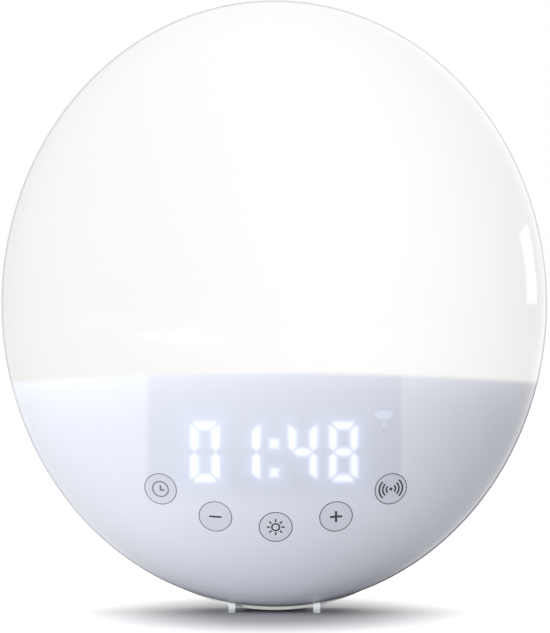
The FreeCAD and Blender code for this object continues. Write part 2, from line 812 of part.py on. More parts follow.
lamp_spots = []
columns = int(size("lamp_wide") // size("lamp_pitch"))
rows = int((size("lamp_high") + size("middle_z")) // size("lamp_pitch"))
lowest = size("arch_top") + size("lamp_above") + size("lamp_edge")
for row in range(rows):
    z = lowest + row * size("lamp_pitch")
    for column in range(-columns, columns + 1):
        x = column * size("lamp_pitch")
        reach = (x / (size("lamp_wide") - size("lamp_edge"))) ** 2
        reach += ((z - size("middle_z")) / (size("lamp_high") - size("lamp_edge"))) ** 2
        if reach <= 1:
            lamp_spots.append((x, z))
emitters = []
sheet_holes = []
for x, z in lamp_spots:
    corner = Vector(
        x - size("lamp_wide_led") / 2,
        size("lamp_board_y") - size("lamp_deep_led"),
        z - size("lamp_tall_led") / 2,
    )
    emitters.append(
        Part.makeBox(size("lamp_wide_led"), size("lamp_deep_led"), size("lamp_tall_led"), corner)
    )
    spot = Vector(x, size("lamp_board_y") - 2 * size("sheet_thick"), z)
    hole = Part.makeCylinder(size("lamp_hole") / 2, 3 * size("sheet_thick"), spot, Vector(0, 1, 0))
    sheet_holes.append(hole)
subpart("lamp_emitters", solid("LampEmitters", Part.makeCompound(emitters)))

sheet_oval = oval(
    "SheetOval",
    "lamp_wide - sheet_inset",
    "lamp_high - sheet_inset",
    "lamp_board_y - sheet_thick",
    "sheet_thick",
)
sheet_plain = common("SheetPlain", sheet_oval, above_arch)
sheet_cutters = solid("SheetHoles", Part.makeCompound(sheet_holes))
subpart("reflector_sheet", cut("ReflectorSheet", sheet_plain, sheet_cutters))

# Main board, on the back of the frame, and what it carries
main_blank = block(
    "MainBlank",
    "main_board_wide",
    "board_thick",
    "main_board_tall",
    "0",
    "main_board_y",
    "main_board_z - main_board_tall / 2",
)
main_holes = []
for number, (x, z) in enumerate(main_spots):
    across = "small_screw + 2 * screw_slack"
    main_holes.append(
        rod(f"MainHole{number}", across, "3 * board_thick", x, "main_board_y - board_thick", z)
    )
subpart("main_board", cut("MainBoard", main_blank, fuse("MainHoles", *main_holes)))

# What the main board carries, each with its sizes and with its place from the board's middle
MAIN_FACE = "(main_board_y + board_thick)"
CHIP_SIZES = (
    ("Processor", "10", "1.2", "10", "0", "-6"),
    ("Amplifier", "6", "1.5", "5", "18", "8"),
    ("ClockChip", "5", "1.5", "4", "-12", "-18"),
    ("LampDriver", "7", "2.3", "6", "22", "-14"),
    ("Choke", "8", "5", "8", "12", "-19"),
)
CAN_SIZES = (
    ("CanA", "8", "9", "28", "3"),
    ("CanB", "6.3", "9", "28", "-6"),
    ("CanC", "6.3", "9", "8", "14"),
)
PLUG_SIZES = (
    ("LampPlug", "7.4", "5.8", "4.6", "-4", "20"),
    ("SpeakerPlug", "7.4", "5.8", "4.6", "-16", "20"),
)
RADIO_SIZES = (
    ("RadioBoard", "18", "0.8", "25", "-27", "1.5"),
    ("RadioCan", "15.4", "3.2", "17", "-27", "-1"),
)


def on_main_board(name, wide, deep, tall, x, z):
    """A box on the main board with its middle at x, z from the middle of the board."""
    return block(name, wide, deep, tall, x, MAIN_FACE, f"main_board_z + ({z}) - ({tall}) / 2")


subpart("board_chips", group("BoardChips", *[on_main_board(*row) for row in CHIP_SIZES]))
cans = []
for name, wide, deep, x, z in CAN_SIZES:
    cans.append(rod(name, wide, deep, x, MAIN_FACE, f"main_board_z + ({z})"))
subpart("board_capacitors", group("BoardCapacitors", *cans))
subpart("board_connectors", group("BoardConnectors", *[on_main_board(*row) for row in PLUG_SIZES]))
radio_pieces = [on_main_board(*row) for row in RADIO_SIZES]
subpart("wireless_module", fuse("WirelessModule", *radio_pieces))

# Speaker: frame, magnet and cone turned about its own line, with a foam ring and a cloth behind the grille
rim_x = "speaker_wide / 2"
well_x = "(speaker_wide / 2 - speaker_rim)"
neck_x = "basket_back / 2"
frame_outline = (
    (rim_x, "0"),
    (rim_x, "-speaker_plate"),
    (f"{well_x} + speaker_plate", "-speaker_plate"),
    (neck_x, "-basket_deep"),
    ("cone_neck / 2 + 1", "-basket_deep"),
    ("cone_neck / 2 + 1", "speaker_plate - basket_deep"),
    (f"{neck_x} - speaker_plate", "speaker_plate - basket_deep"),
    (well_x, "-speaker_plate"),
    (well_x, "0"),
)
subpart("speaker_frame", turned("SpeakerFrame", frame_outline, "speaker_front_y", "speaker_z"))
magnet_outline = (
    ("0", "-basket_deep - magnet_deep"),
    ("magnet_wide / 2", "-basket_deep - magnet_deep"),
    ("magnet_wide / 2", "-basket_deep"),
    ("0", "-basket_deep"),
)
subpart("speaker_magnet", turned("SpeakerMagnet", magnet_outline, "speaker_front_y", "speaker_z"))
cone_outline = (
    ("0", "-cone_deep"),
    ("cone_neck / 2", "-cone_deep"),
    (f"{well_x} - 2", "0"),
    (f"{well_x} + 1.5", "0"),
    (f"{well_x} + 1.5", "cone_sheet"),
    (f"{well_x} - 2.4", "cone_sheet"),
    ("cone_neck / 2", "-cone_deep + cone_sheet + 0.4"),
    ("0", "-cone_deep + 2 * cone_sheet + 1"),
)
subpart("speaker_cone", turned("SpeakerCone", cone_outline, "speaker_front_y", "speaker_z"))
gasket_outline = (
    (f"{well_x} + 1.7", "0"),
    (rim_x, "0"),
    (rim_x, "gasket_thick"),
    (f"{well_x} + 1.7", "gasket_thick"),
)
subpart("speaker_gasket", turned("SpeakerGasket", gasket_outline, "speaker_front_y", "speaker_z"))
cloth_outline = (
    ("0", "-cloth_thick"),
    (f"{well_x} + 1.5", "-cloth_thick"),
    (f"{well_x} + 1.5", "0"),
    ("0", "0"),
)
subpart("grille_cloth", turned("GrilleCloth", cloth_outline, "inside_back_y", "speaker_z"))

# Power inlet: a moulded block with a round nose in the notch, and its centre pin
jack_back = "(jack_y - notch_wall)"
jack_blank = block(
    "JackBlank",
    "jack_wide",
    "jack_deep",
    "jack_tall",
    "0",
    f"{jack_back} - jack_deep",
    "jack_z - jack_tall / 2",
)
jack_nose = rod(
    "JackNose", "jack_nose", "notch_wall + over", "0", f"{jack_back} - over", "jack_z"
)
jack_hole = rod(
    "JackHole", "jack_bore", "jack_bore_deep + over", "0", "jack_y - jack_bore_deep", "jack_z"
)
subpart("power_inlet", cut("PowerInlet", fuse("JackSolid", jack_blank, jack_nose), jack_hole))
subpart(
    "power_pin",
    rod("PowerPin", "jack_pin", "jack_bore_deep - jack_pin_short", "0", "jack_y - jack_bore_deep", "jack_z"),
)

# Backup battery: a sliding door, the coin cell under it and the two contact strips
door_plate = block(
    "DoorPlate",
    "door_wide",
    "door_thick + over",
    "door_tall",
    "0",
    "back_y - door_thick",
    "middle_z - door_low",
)
door_skin = common("DoorSkin", door_plate, rear_outside)
GRIPS = 5
door_grips = []
for number in range(GRIPS):
    door_grips.append(
        block(
            f"DoorGrip{number}",
            "grip_wide",
            "2 * grip_deep",
            "grip_tall",
            "0",
            "back_y - grip_deep",
            f"middle_z - door_top - grip_drop - {number} * grip_apart",
        )
    )
subpart("battery_door", cut("BatteryDoor", door_skin, fuse("DoorGrips", *door_grips)))
cell = rod(
    "CoinCell", "cell_wide", "cell_thick", "0", "cell_floor_y + contact_thick", "middle_z - cell_down"
)
subpart("coin_cell", cell)
strip_length = "cell_wide / 2"
minus_strip = block(
    "MinusStrip",
    "contact_wide",
    "contact_thick",
    strip_length,
    "0",
    "cell_floor_y",
    "middle_z - cell_down - cell_wide / 4",
)
subpart("battery_contact", minus_strip)


# Screws: cross-head pan screws, four through the rear housing and four for each of the two boards
def screw(x, y, z, across, long, head, head_tall, direction):
    """A pan-head screw whose head sits on the plane at y; the shank runs along the direction."""
    axis = Vector(0, direction, 0)
    spot = Vector(x, y, z)
    shank = Part.makeCylinder(across / 2, long, spot, axis)
    cap = Part.makeCylinder(head / 2, head_tall, spot, axis * -1)
    rim = [edge for edge in cap.Edges if abs(edge.CenterOfMass.y - (y - direction * head_tall)) < 0.001]
    cap = cap.makeFillet(head_tall / 2, rim)
    slot_deep = head_tall / 2
    slot_long = head * 0.6
    slot_wide = head * 0.16
    tools = []
    for wide, tall in ((slot_long, slot_wide), (slot_wide, slot_long)):
        start = y - direction * head_tall if direction > 0 else y + head_tall - slot_deep
        corner = Vector(x - wide / 2, start, z - tall / 2)
        tools.append(Part.makeBox(wide, slot_deep, tall, corner))
    return cap.fuse(shank).cut(tools[0].fuse(tools[1])).removeSplitter()


housing_screws = []
for side, rise in POST_SIDES:
    housing_screws.append(
        screw(
            side * size("post_across"),
            size("boss_end_y") + size("well_floor"),
            size("middle_z") + rise * size("post_up"),
            size("screw_wide"),
            size("well_floor") + size("boss_deep") - 1,
            size("head_wide"),
            size("head_tall"),
            -1,
        )
    )
subpart("housing_screws", solid("HousingScrews", Part.makeCompound(housing_screws)))

board_screws = []
for x, z in front_spots:
    board_screws.append(
        screw(
            evaluate(x),
            size("front_board_y"),
            evaluate(z),
            size("small_screw"),
            size("board_thick") + size("thread_deep") - 0.5,
            size("small_head"),
            size("small_head_tall"),
            1,
        )
    )
for x, z in main_spots:
    board_screws.append(
        screw(
            evaluate(x),
            size("main_board_y") + size("board_thick"),
            evaluate(z),
            size("small_screw"),
            size("board_thick") + size("thread_deep") - 0.5,
            size("small_head"),
            size("small_head_tall"),
            -1,
        )
    )
subpart("board_screws", solid("BoardScrews", Part.makeCompound(board_screws)))

doc.recompute()

# Every object has to be sound before anything is written
troubles = []
for thing in doc.Objects:
    if "Invalid" in thing.State or "Error" in thing.State:
        troubles.append(f"{thing.Name}: {thing.State}")
for label, thing in SUBPARTS:
    if thing.Shape.isNull() or not thing.Shape.isValid() or not thing.Shape.Solids:
        troubles.append(f"{label}: no sound shape")
if troubles:
    raise SystemExit("\n".join(troubles))
for label, thing in SUBPARTS:
    thing.Shape.exportStep(f"parts/{label}.step")
    box = thing.Shape.optimalBoundingBox()
    print(
        f"{label}: {len(thing.Shape.Solids)} solids, {thing.Shape.Volume / 1000:.2f} cm3,"
        f" y {box.YMin:.2f} to {box.YMax:.2f}, z {box.ZMin:.2f} to {box.ZMax:.2f}"
    )
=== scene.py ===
# %% [markdown]
# A sunrise alarm clock
#
# The clock is an oval lamp that stands on its edge. Its whole front is one opal dome. The upper
# two thirds glow, and a divider behind the dome ends the glow in a clean line. Below it, digits
# shine through the same plastic, and five touch keys are printed on it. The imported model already
# has every hard piece at its real place. This lesson gives those pieces their finish, and adds
# the print, the light and the camera.

import math

import bmesh
import bpy
from mathutils import Matrix, Vector


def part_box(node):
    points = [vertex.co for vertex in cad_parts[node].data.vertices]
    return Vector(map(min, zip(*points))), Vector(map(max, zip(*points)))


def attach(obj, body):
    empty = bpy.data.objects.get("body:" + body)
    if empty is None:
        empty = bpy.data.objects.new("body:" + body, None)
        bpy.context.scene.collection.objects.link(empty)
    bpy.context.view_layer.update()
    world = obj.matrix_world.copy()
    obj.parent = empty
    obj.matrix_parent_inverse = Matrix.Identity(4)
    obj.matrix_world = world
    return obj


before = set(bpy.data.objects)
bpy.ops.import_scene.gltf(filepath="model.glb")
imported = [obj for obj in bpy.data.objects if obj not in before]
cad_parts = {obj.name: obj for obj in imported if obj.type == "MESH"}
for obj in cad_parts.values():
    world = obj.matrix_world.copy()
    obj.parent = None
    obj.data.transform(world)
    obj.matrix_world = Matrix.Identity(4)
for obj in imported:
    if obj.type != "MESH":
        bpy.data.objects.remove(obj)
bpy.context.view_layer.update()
print("pieces in the model:", len(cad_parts))

# %% [markdown]
# ## Sizes
#
# Everything that is added follows the dome, so its middle and its three half sizes are read from
# the model. The dome is half of an ellipsoid: any point of it can be worked out from those values.

# %% The dome's own sizes
MM = 0.001
dome_low, dome_high = (Vector(corner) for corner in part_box("front_dome"))
DOME_MIDDLE = Vector(
    ((dome_low.x + dome_high.x) / 2, dome_high.y, (dome_low.z + dome_high.z) / 2)
)
DOME_HALF = Vector(
    ((dome_high.x - dome_low.x) / 2, dome_high.y - dome_low.y, (dome_high.z - dome_low.z) / 2)
)
print("dome half sizes in mm:", [round(value / MM, 1) for value in DOME_HALF])


def dome_point(x, z):
    """The point of the dome's outside that is straight in front of x, z."""
    across = (x - DOME_MIDDLE.x) / DOME_HALF.x
    up = (z - DOME_MIDDLE.z) / DOME_HALF.z
    depth = DOME_HALF.y * math.sqrt(max(0.0, 1 - across**2 - up**2))
    return Vector((x, DOME_MIDDLE.y - depth, z))


def dome_normal(point):
    """The outward direction of the dome at a point on it."""
    away = point - DOME_MIDDLE
    return Vector(
        (away.x / DOME_HALF.x**2, away.y / DOME_HALF.y**2, away.z / DOME_HALF.z**2)
    ).normalized()


# %% [markdown]
# ## Node helpers
#
# Materials are networks of small nodes. A few helpers keep the building of them readable: they
# add a node and fill its sockets, add a Math node, make a soft step or a mix of two colours, and
# make a new material. Colours are written as a screen shows them, 0 to 255, and turned into the
# linear values that shaders use.


# %% Helpers for colours and nodes
def colour(red, green, blue):
    """A screen colour as the linear colour that shaders use."""
    channels = []
    for value in (red, green, blue):
        share = value / 255
        linear = share / 12.92 if share <= 0.04045 else ((share + 0.055) / 1.055) ** 2.4
        channels.append(linear)
    return (*channels, 1.0)


def add(tree, kind, inputs=None, **settings):
    """A node of that kind; its inputs, by name or number, are values or outputs of other nodes."""
    made = tree.nodes.new(kind)
    for name, value in settings.items():
        setattr(made, name, value)
    for socket, value in (inputs or {}).items():
        if isinstance(value, bpy.types.NodeSocket):
            tree.links.new(value, made.inputs[socket])
        else:
            made.inputs[socket].default_value = value
    return made


def sums(tree, operation, *values):
    """The output of a Math node."""
    made = add(tree, "ShaderNodeMath", dict(enumerate(values)), operation=operation)
    return made.outputs[0]


def distance(tree, x, z):
    """How far x, z is from 0, 0."""
    squares = [sums(tree, "POWER", value, 2.0) for value in (x, z)]
    return sums(tree, "SQRT", sums(tree, "ADD", *squares))


def soft_step(tree, value, start, end, low=0.0, high=1.0):
    """A smooth change from low to high while value goes from start to end."""
    made = add(
        tree,
        "ShaderNodeMapRange",
        {"Value": value, "From Min": start, "From Max": end, "To Min": low, "To Max": high},
        interpolation_type="SMOOTHSTEP",
    )
    return made.outputs["Result"]


def blend(tree, share, first, second):
    """A colour between first and second."""
    made = add(tree, "ShaderNodeMix", {"Factor": share}, data_type="RGBA")
    for socket, value in ((made.inputs[6], first), (made.inputs[7], second)):
        if isinstance(value, bpy.types.NodeSocket):
            tree.links.new(value, socket)
        else:
            socket.default_value = value
    return made.outputs[2]


BLACK = (0.0, 0.0, 0.0, 1.0)
WHITE = (1.0, 1.0, 1.0, 1.0)


def new_material(name):
    """An empty material with a Principled BSDF: the material, its tree and its shader."""
    made = bpy.data.materials.new(name)
    made.use_nodes = True
    tree = made.node_tree
    return made, tree, tree.nodes["Principled BSDF"]


def dress(node, material):
    """Put one material on a piece of the model."""
    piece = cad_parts[node]
    piece.data.materials.clear()
    piece.data.materials.append(material)
    print("dressed", node, "in", material.name)


# %% [markdown]
# ## Shared effects
#
# Moulded plastic is never quite even. Its gloss varies in soft clouds and its skin has a very fine
# texture from the tool. One node group makes both, and each plastic uses it with its own amounts.


# %% Group: moulded skin
MOULDED_INPUTS = ("Cloud size", "Grain size", "Gloss", "Gloss change")
MOULDED_OUTPUTS = ("Tone", "Roughness", "Height")
TONE_STEP = (0.3, 0.7)
RELIEF_DEPTH = 0.1 * MM


def add_sockets(tree, names, in_out):
    """Plain number sockets on a node group."""
    for name in names:
        tree.interface.new_socket(name, in_out=in_out, socket_type="NodeSocketFloat")


def make_moulded_group():
    """A node group that gives an uneven tone, an uneven gloss and a fine height."""
    tree = bpy.data.node_groups.new("Moulded skin", "ShaderNodeTree")
    add_sockets(tree, MOULDED_INPUTS, "INPUT")
    add_sockets(tree, MOULDED_OUTPUTS, "OUTPUT")
    given = tree.nodes.new("NodeGroupInput").outputs
    result = tree.nodes.new("NodeGroupOutput")
    place = add(tree, "ShaderNodeTexCoord").outputs["Object"]
    cloud_inputs = {"Vector": place, "Scale": given["Cloud size"], "Detail": 3.0}
    clouds = add(tree, "ShaderNodeTexNoise", cloud_inputs).outputs["Fac"]
    grain_inputs = {"Vector": place, "Scale": given["Grain size"], "Detail": 2.0}
    grain = add(tree, "ShaderNodeTexNoise", grain_inputs).outputs["Fac"]
    centred = sums(tree, "SUBTRACT", clouds, 0.5)
    change = sums(tree, "MULTIPLY", centred, given["Gloss change"])
    tree.links.new(clouds, result.inputs["Tone"])
    tree.links.new(sums(tree, "ADD", given["Gloss"], change), result.inputs["Roughness"])
    tree.links.new(grain, result.inputs["Height"])
    return tree


MOULDED = make_moulded_group()
print("group", MOULDED.name, "with", len(MOULDED.nodes), "nodes")

# %% [markdown]
# Two recipes cover most pieces. A plastic drifts between two near colours and has the moulded
# skin. A metal shows fine drawn lines, which are noise that is stretched along one direction.

# %% Recipes: plastic and metal
METAL_LINES = {"Scale": 160.0, "Detail": 4.0}
METAL_STEP = (0.2, 0.8)
METAL_GLOSS_SPREAD = 0.15


def moulded(tree, gloss, change, clouds=30.0, grain=2500.0):
    """The outputs of the moulded skin group, with these values."""
    inputs = dict(zip(MOULDED_INPUTS, (clouds, grain, gloss, change)))
    return add(tree, "ShaderNodeGroup", inputs, node_tree=MOULDED).outputs


def raise_skin(tree, shader, height, strength, depth=RELIEF_DEPTH):
    """Give the shader a fine relief."""
    bump = add(tree, "ShaderNodeBump", {"Height": height, "Strength": strength, "Distance": depth})
    tree.links.new(bump.outputs["Normal"], shader.inputs["Normal"])


def plastic(name, dark, light, gloss, change=0.1, relief=0.02, grain=2500.0):
    """A moulded plastic whose tone drifts between two near colours."""
    material, tree, shader = new_material(name)
    skin = moulded(tree, gloss, change, grain=grain)
    tone = soft_step(tree, skin["Tone"], *TONE_STEP)
    tree.links.new(blend(tree, tone, dark, light), shader.inputs["Base Color"])
    tree.links.new(skin["Roughness"], shader.inputs["Roughness"])
    raise_skin(tree, shader, skin["Height"], relief)
    return material


def metal(name, dark, light, gloss, stretch=(1.0, 1.0, 40.0)):
    """A metal with fine drawn lines along the direction that is stretched least."""
    material, tree, shader = new_material(name)
    place = add(tree, "ShaderNodeTexCoord").outputs["Object"]
    drawn = add(tree, "ShaderNodeMapping", {"Vector": place, "Scale": stretch}).outputs[0]
    lines = add(tree, "ShaderNodeTexNoise", {"Vector": drawn, **METAL_LINES}).outputs["Fac"]
    tree.links.new(blend(tree, lines, dark, light), shader.inputs["Base Color"])
    rough = soft_step(tree, lines, *METAL_STEP, gloss, gloss + METAL_GLOSS_SPREAD)
    tree.links.new(rough, shader.inputs["Roughness"])
    shader.inputs["Metallic"].default_value = 1.0
    return material


# %% [markdown]
# ## The dome
#
# On the real clock, one opal wall is lit from behind in four ways: by the lamp above the divider,
# by the digits, by the small wireless sign, and by a little light that strays into the lower
# part. All of them blur on their way through the plastic. They could be real glowing pieces
# behind a real translucent wall, but then noise and a long render would blur them. So they are
# drawn on the wall's own surface. The drawing uses the object's coordinates in millimetres. Each
# shape is a distance, and a soft step over that distance is its edge.
#
# Seen from two metres away, the wall is a little nearer than what is behind it. So what is drawn
# on it is 2.2 percent nearer the camera's axis than the real piece behind: that is NEARER.

# %% Places of what shines through the dome
EYE_UP = 97.4
NEARER = 1.022
ARCH_TOP = 79.2
ARCH_RISE = 3.5
ARCH_REACH = 86.7
ARCH_RADIUS = (ARCH_REACH**2 + ARCH_RISE**2) / (2 * ARCH_RISE)
EDGE_SOFT = 1.3

lit_low, lit_high = (Vector(corner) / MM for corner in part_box("display_lit_segments"))
STROKE = 3.0
DIGIT_WIDE = 10.0
DIGIT_MIDDLE = (lit_low.z + lit_high.z) / 2
DIGIT_TALL = lit_high.z - lit_low.z
DIGIT_OUTER = (lit_high.x - lit_low.x - DIGIT_WIDE) / 2
DIGIT_INNER = 9.45
COLON_APART = 9.6
COLON_DROP = 2.0
LIT_BARS = {"0": "abcdef", "1": "bc", "4": "bcfg", "8": "abcdefg"}
digit_places = (
    ("0", -DIGIT_OUTER),
    ("1", -DIGIT_INNER),
    ("4", DIGIT_INNER),
    ("8", DIGIT_OUTER),
)
print("digits:", round(DIGIT_TALL, 1), "mm tall, middle", round(DIGIT_MIDDLE, 1), "mm up")

# %% [markdown]
# A digit is made of straight bars. Each bar is described in its own directions: one along it, and
# one across it towards the inside of the digit. Where two bars meet at a corner their ends are
# cut on the slant, so the outer edge is the longer one. Where three meet at the middle they are
# pointed. The fold value chooses between them. One node group gives the distance from any bar.

# %% Group: distance to one bar of a digit
BAR_HALF = 1.22
BAR_JOINT = 0.5
BAR_CAP = 0.3
BAR_ROUND = 0.8
COLON_HALF = BAR_HALF + 0.1
BAR_SOCKETS = ("X", "Z", "Middle X", "Middle Z", "Along X", "Along Z", "In X", "In Z")
BAR_SOCKETS += ("Reach", "Fold one", "Fold two")


def make_bar_group():
    """A node group: the distance in mm from one bar of a digit, negative inside it."""
    tree = bpy.data.node_groups.new("Digit bar", "ShaderNodeTree")
    add_sockets(tree, BAR_SOCKETS, "INPUT")
    add_sockets(tree, ("Distance",), "OUTPUT")
    given = tree.nodes.new("NodeGroupInput").outputs
    result = tree.nodes.new("NodeGroupOutput")
    away_x = sums(tree, "SUBTRACT", given["X"], given["Middle X"])
    away_z = sums(tree, "SUBTRACT", given["Z"], given["Middle Z"])
    along_z = sums(tree, "MULTIPLY", away_z, given["Along Z"])
    along = sums(tree, "MULTIPLY_ADD", away_x, given["Along X"], along_z)
    inward_z = sums(tree, "MULTIPLY", away_z, given["In Z"])
    inward = sums(tree, "MULTIPLY_ADD", away_x, given["In X"], inward_z)
    flat = sums(tree, "ABSOLUTE", inward)
    length = sums(tree, "SUBTRACT", sums(tree, "ABSOLUTE", along), given["Reach"])
    cap = sums(tree, "SUBTRACT", length, BAR_CAP)
    side = sums(tree, "SUBTRACT", flat, BAR_HALF)
    away = sums(tree, "SMOOTH_MAX", side, cap, BAR_ROUND)
    folded = sums(tree, "SUBTRACT", flat, inward)
    for direction, fold in ((1.0, "Fold one"), (-1.0, "Fold two")):
        slant = sums(tree, "MULTIPLY_ADD", folded, given[fold], inward)
        end = sums(tree, "MULTIPLY_ADD", along, direction, slant)
        beyond = sums(tree, "SUBTRACT", end, given["Reach"])
        away = sums(tree, "SMOOTH_MAX", away, beyond, BAR_ROUND)
    tree.links.new(away, result.inputs["Distance"])
    return tree


BAR = make_bar_group()
print("group", BAR.name, "with", len(BAR.nodes), "nodes")


# %% Bars of a digit
def bars_of(digit, x):
    """The values of each lit bar of one digit, in the order of the group's sockets after X, Z."""
    reach_x = (DIGIT_WIDE - STROKE) / 2
    reach_z = (DIGIT_TALL - STROKE) / 2
    found = []
    for letter, rise in (("a", 1), ("g", 0), ("d", -1)):
        fold = 0 if rise else 1
        middle = DIGIT_MIDDLE + rise * reach_z
        ends = (reach_x - BAR_JOINT, fold, fold)
        if letter in LIT_BARS[digit]:
            found.append((x, middle, 1, 0, 0, -rise or 1, *ends))
    for letter, side, rise in (("f", -1, 1), ("b", 1, 1), ("e", -1, -1), ("c", 1, -1)):
        middle = DIGIT_MIDDLE + rise * reach_z / 2
        ends = (reach_z / 2 - BAR_JOINT, 0, 1)
        if letter in LIT_BARS[digit]:
            found.append((x + side * reach_x, middle, 0, rise, -side, 0, *ends))
    return found


print("lit bars:", sum(len(bars_of(digit, x)) for digit, x in digit_places))

# %% [markdown]
# The keys are circles on the dome itself. A point is in a key's disc where its straight distance
# from the key's middle is less than the radius, whatever the slope of the dome is there.

# %% Places of the keys
KEY_ARC = 64.1 * MM
KEY_ARC_UP = 92.2 * MM
KEY_TURNS = {"clock": -36.6, "minus": -18.2, "sun": 0.0, "plus": 18.2, "sound": 36.6}
KEY_LIFTS = {"minus": 0.27 * MM, "plus": 0.27 * MM}
KEY_RADIUS = 5.5 * MM
KEYS_ASIDE = 0.45 * MM
KEYS_DOWN = 0.45 * MM
key_middles = {}
for key, turn in KEY_TURNS.items():
    angle = math.radians(turn)
    across = KEY_ARC * math.sin(angle) / NEARER + KEYS_ASIDE
    up = KEY_ARC_UP - KEY_ARC * math.cos(angle) - KEYS_DOWN + KEY_LIFTS.get(key, 0.0)
    key_middles[key] = dome_point(across, EYE_UP * MM + (up - EYE_UP * MM) / NEARER)
    print("key", key, [round(value / MM, 1) for value in key_middles[key]])

# %% [markdown]
# The lamp is a warm white and the lower shell a cool, pale grey. The levels say how much light
# comes through: the lamp's is lower on the left, where the key light adds more from outside.

# %% Colours and levels of the dome
LAMP_WHITE = colour(255, 253, 250)
LAMP_SHELL = colour(220, 219, 217)
LAMP_LEVELS = (0.08, 0.44)
LAMP_SPAN = (-90.0, 90.0)
STRAY = 0.13
STRAY_REACH = 9.0
HALO = 0.22
HALO_FADE = -0.42
HALO_LIGHT = colour(150, 170, 215)
DIGIT_LEVEL = 0.4
DIGIT_EDGE = (1.05, -1.15)
DIGIT_LIGHT = colour(244, 248, 255)
SIGN_LIGHT = colour(158, 170, 192)
SIGN_LEVEL = 0.26
LOWER_SHELL = colour(226, 229, 238)
LOWER_DARK = colour(214, 217, 226)
LOWER_DRIFT = 0.12
WINDOW_TINT = colour(200, 207, 221)
KEY_TINT = colour(190, 192, 204)
# Painted shade: the grey of the line along the rim.
RIM_PAINTED_SHADE = colour(96, 98, 106)
DOME_SPECULAR = 0.35
DOME_COAT = 0.35
DOME_COAT_ROUGHNESS = 0.03
DOME_RELIEF = 0.01


# %% Shape: the digits and the colon
def digit_distance(tree, x, z):
    """The distance in mm from the nearest lit bar or dot, negative inside it."""
    nearest = None
    for digit, middle_x in digit_places:
        for values in bars_of(digit, middle_x):
            inputs = dict(zip(BAR_SOCKETS, (x, z, *map(float, values))))
            found = add(tree, "ShaderNodeGroup", inputs, node_tree=BAR).outputs["Distance"]
            nearest = found if nearest is None else sums(tree, "MINIMUM", nearest, found)
    away_x = sums(tree, "ABSOLUTE", x)
    for side in (-1, 1):
        dot_up = DIGIT_MIDDLE - COLON_DROP + side * COLON_APART / 2
        away_z = sums(tree, "ABSOLUTE", sums(tree, "SUBTRACT", z, dot_up))
        spread = sums(tree, "SMOOTH_MAX", away_x, away_z, BAR_ROUND)
        nearest = sums(tree, "MINIMUM", nearest, sums(tree, "SUBTRACT", spread, COLON_HALF))
    return nearest


# %% [markdown]
# The wireless sign is a quarter of a ring over a dot. Its edges are two distances from the dot and
# the two slants through it.

# %% Shape: the wireless sign
SIGN_X = 36.2
SIGN_UP = 61.9
FAN_INSIDE = (1.4, 2.2)
FAN_OUTSIDE = (5.1, 4.2)
FAN_SIDE = (-0.5, 0.6)
SIGN_DOT = (1.0, 0.3)


def sign_mask(tree, x, z):
    """1 in the wireless sign and 0 outside it."""
    away_x = sums(tree, "SUBTRACT", x, SIGN_X)
    away_z = sums(tree, "SUBTRACT", z, SIGN_UP)
    away = distance(tree, away_x, away_z)
    inside = soft_step(tree, away, *FAN_INSIDE)
    outside = soft_step(tree, away, *FAN_OUTSIDE)
    over_slants = sums(tree, "SUBTRACT", away_z, sums(tree, "ABSOLUTE", away_x))
    fan = sums(tree, "MULTIPLY", inside, outside)
    fan = sums(tree, "MULTIPLY", fan, soft_step(tree, over_slants, *FAN_SIDE))
    return sums(tree, "MAXIMUM", fan, soft_step(tree, away, *SIGN_DOT))


# %% [markdown]
# Behind the wall the tinted mask has a window for the display. It shows as a faint tint with soft
# edges, and fades out below the digits. The discs of the keys are a tinted print.

# %% Shapes: the mask's window and the discs of the keys
WINDOW_HALF = 42.0
WINDOW_SIDE = (1.4, -1.4)
WINDOW_LEVEL = 0.55
WINDOW_FOOT = (33.0, 44.0)
KEY_EDGE = 0.05
KEY_LEVEL = 0.35


def window_mask(tree, x, z):
    """How much the mask's window shows."""
    beside = sums(tree, "SUBTRACT", sums(tree, "ABSOLUTE", x), WINDOW_HALF)
    window = soft_step(tree, beside, *WINDOW_SIDE, 0.0, WINDOW_LEVEL)
    return sums(tree, "MULTIPLY", window, soft_step(tree, z, *WINDOW_FOOT))


def key_mask(tree, wall_point):
    """How much the tint of the keys shows."""
    discs = None
    radius = KEY_RADIUS / MM
    for middle in key_middles.values():
        inputs = {0: wall_point, 1: middle / MM}
        away = add(tree, "ShaderNodeVectorMath", inputs, operation="DISTANCE").outputs["Value"]
        disc = soft_step(tree, away, radius + KEY_EDGE, radius - KEY_EDGE)
        discs = disc if discs is None else sums(tree, "MAXIMUM", discs, disc)
    return sums(tree, "MULTIPLY", discs, KEY_LEVEL)


# %% [markdown]
# At its rim the wall is seen edge on. The light goes a long way through it there, and the outline
# is drawn as a thin grey line of painted shade, in the wall's colour and in its glow. The painted
# shade is darker at the lower right, away from the lamp. A mask follows the dome's own oval: 1 is
# its outline, and the line starts just inside it.

# %% Shape: the painted shade along the rim
RIM_EDGE = (0.988, 0.996)
RIM_LEAN = 0.6
RIM_SHADED = (40.0, 125.0)
RIM_SHADES = (0.42, 0.72)


def rim_and_painted_shade(tree, wall_x, wall_z):
    """The rim, and how dark the painted shade of the line along it is."""
    up = sums(tree, "SUBTRACT", wall_z, DOME_MIDDLE.z / MM)
    share_x = sums(tree, "DIVIDE", wall_x, DOME_HALF.x / MM)
    share_z = sums(tree, "DIVIDE", up, DOME_HALF.z / MM)
    rim = soft_step(tree, distance(tree, share_x, share_z), *RIM_EDGE)
    to_shade = sums(tree, "SUBTRACT", sums(tree, "MULTIPLY", wall_x, RIM_LEAN), up)
    shaded = soft_step(tree, to_shade, *RIM_SHADED, *RIM_SHADES)
    return rim, sums(tree, "MULTIPLY", rim, shaded)


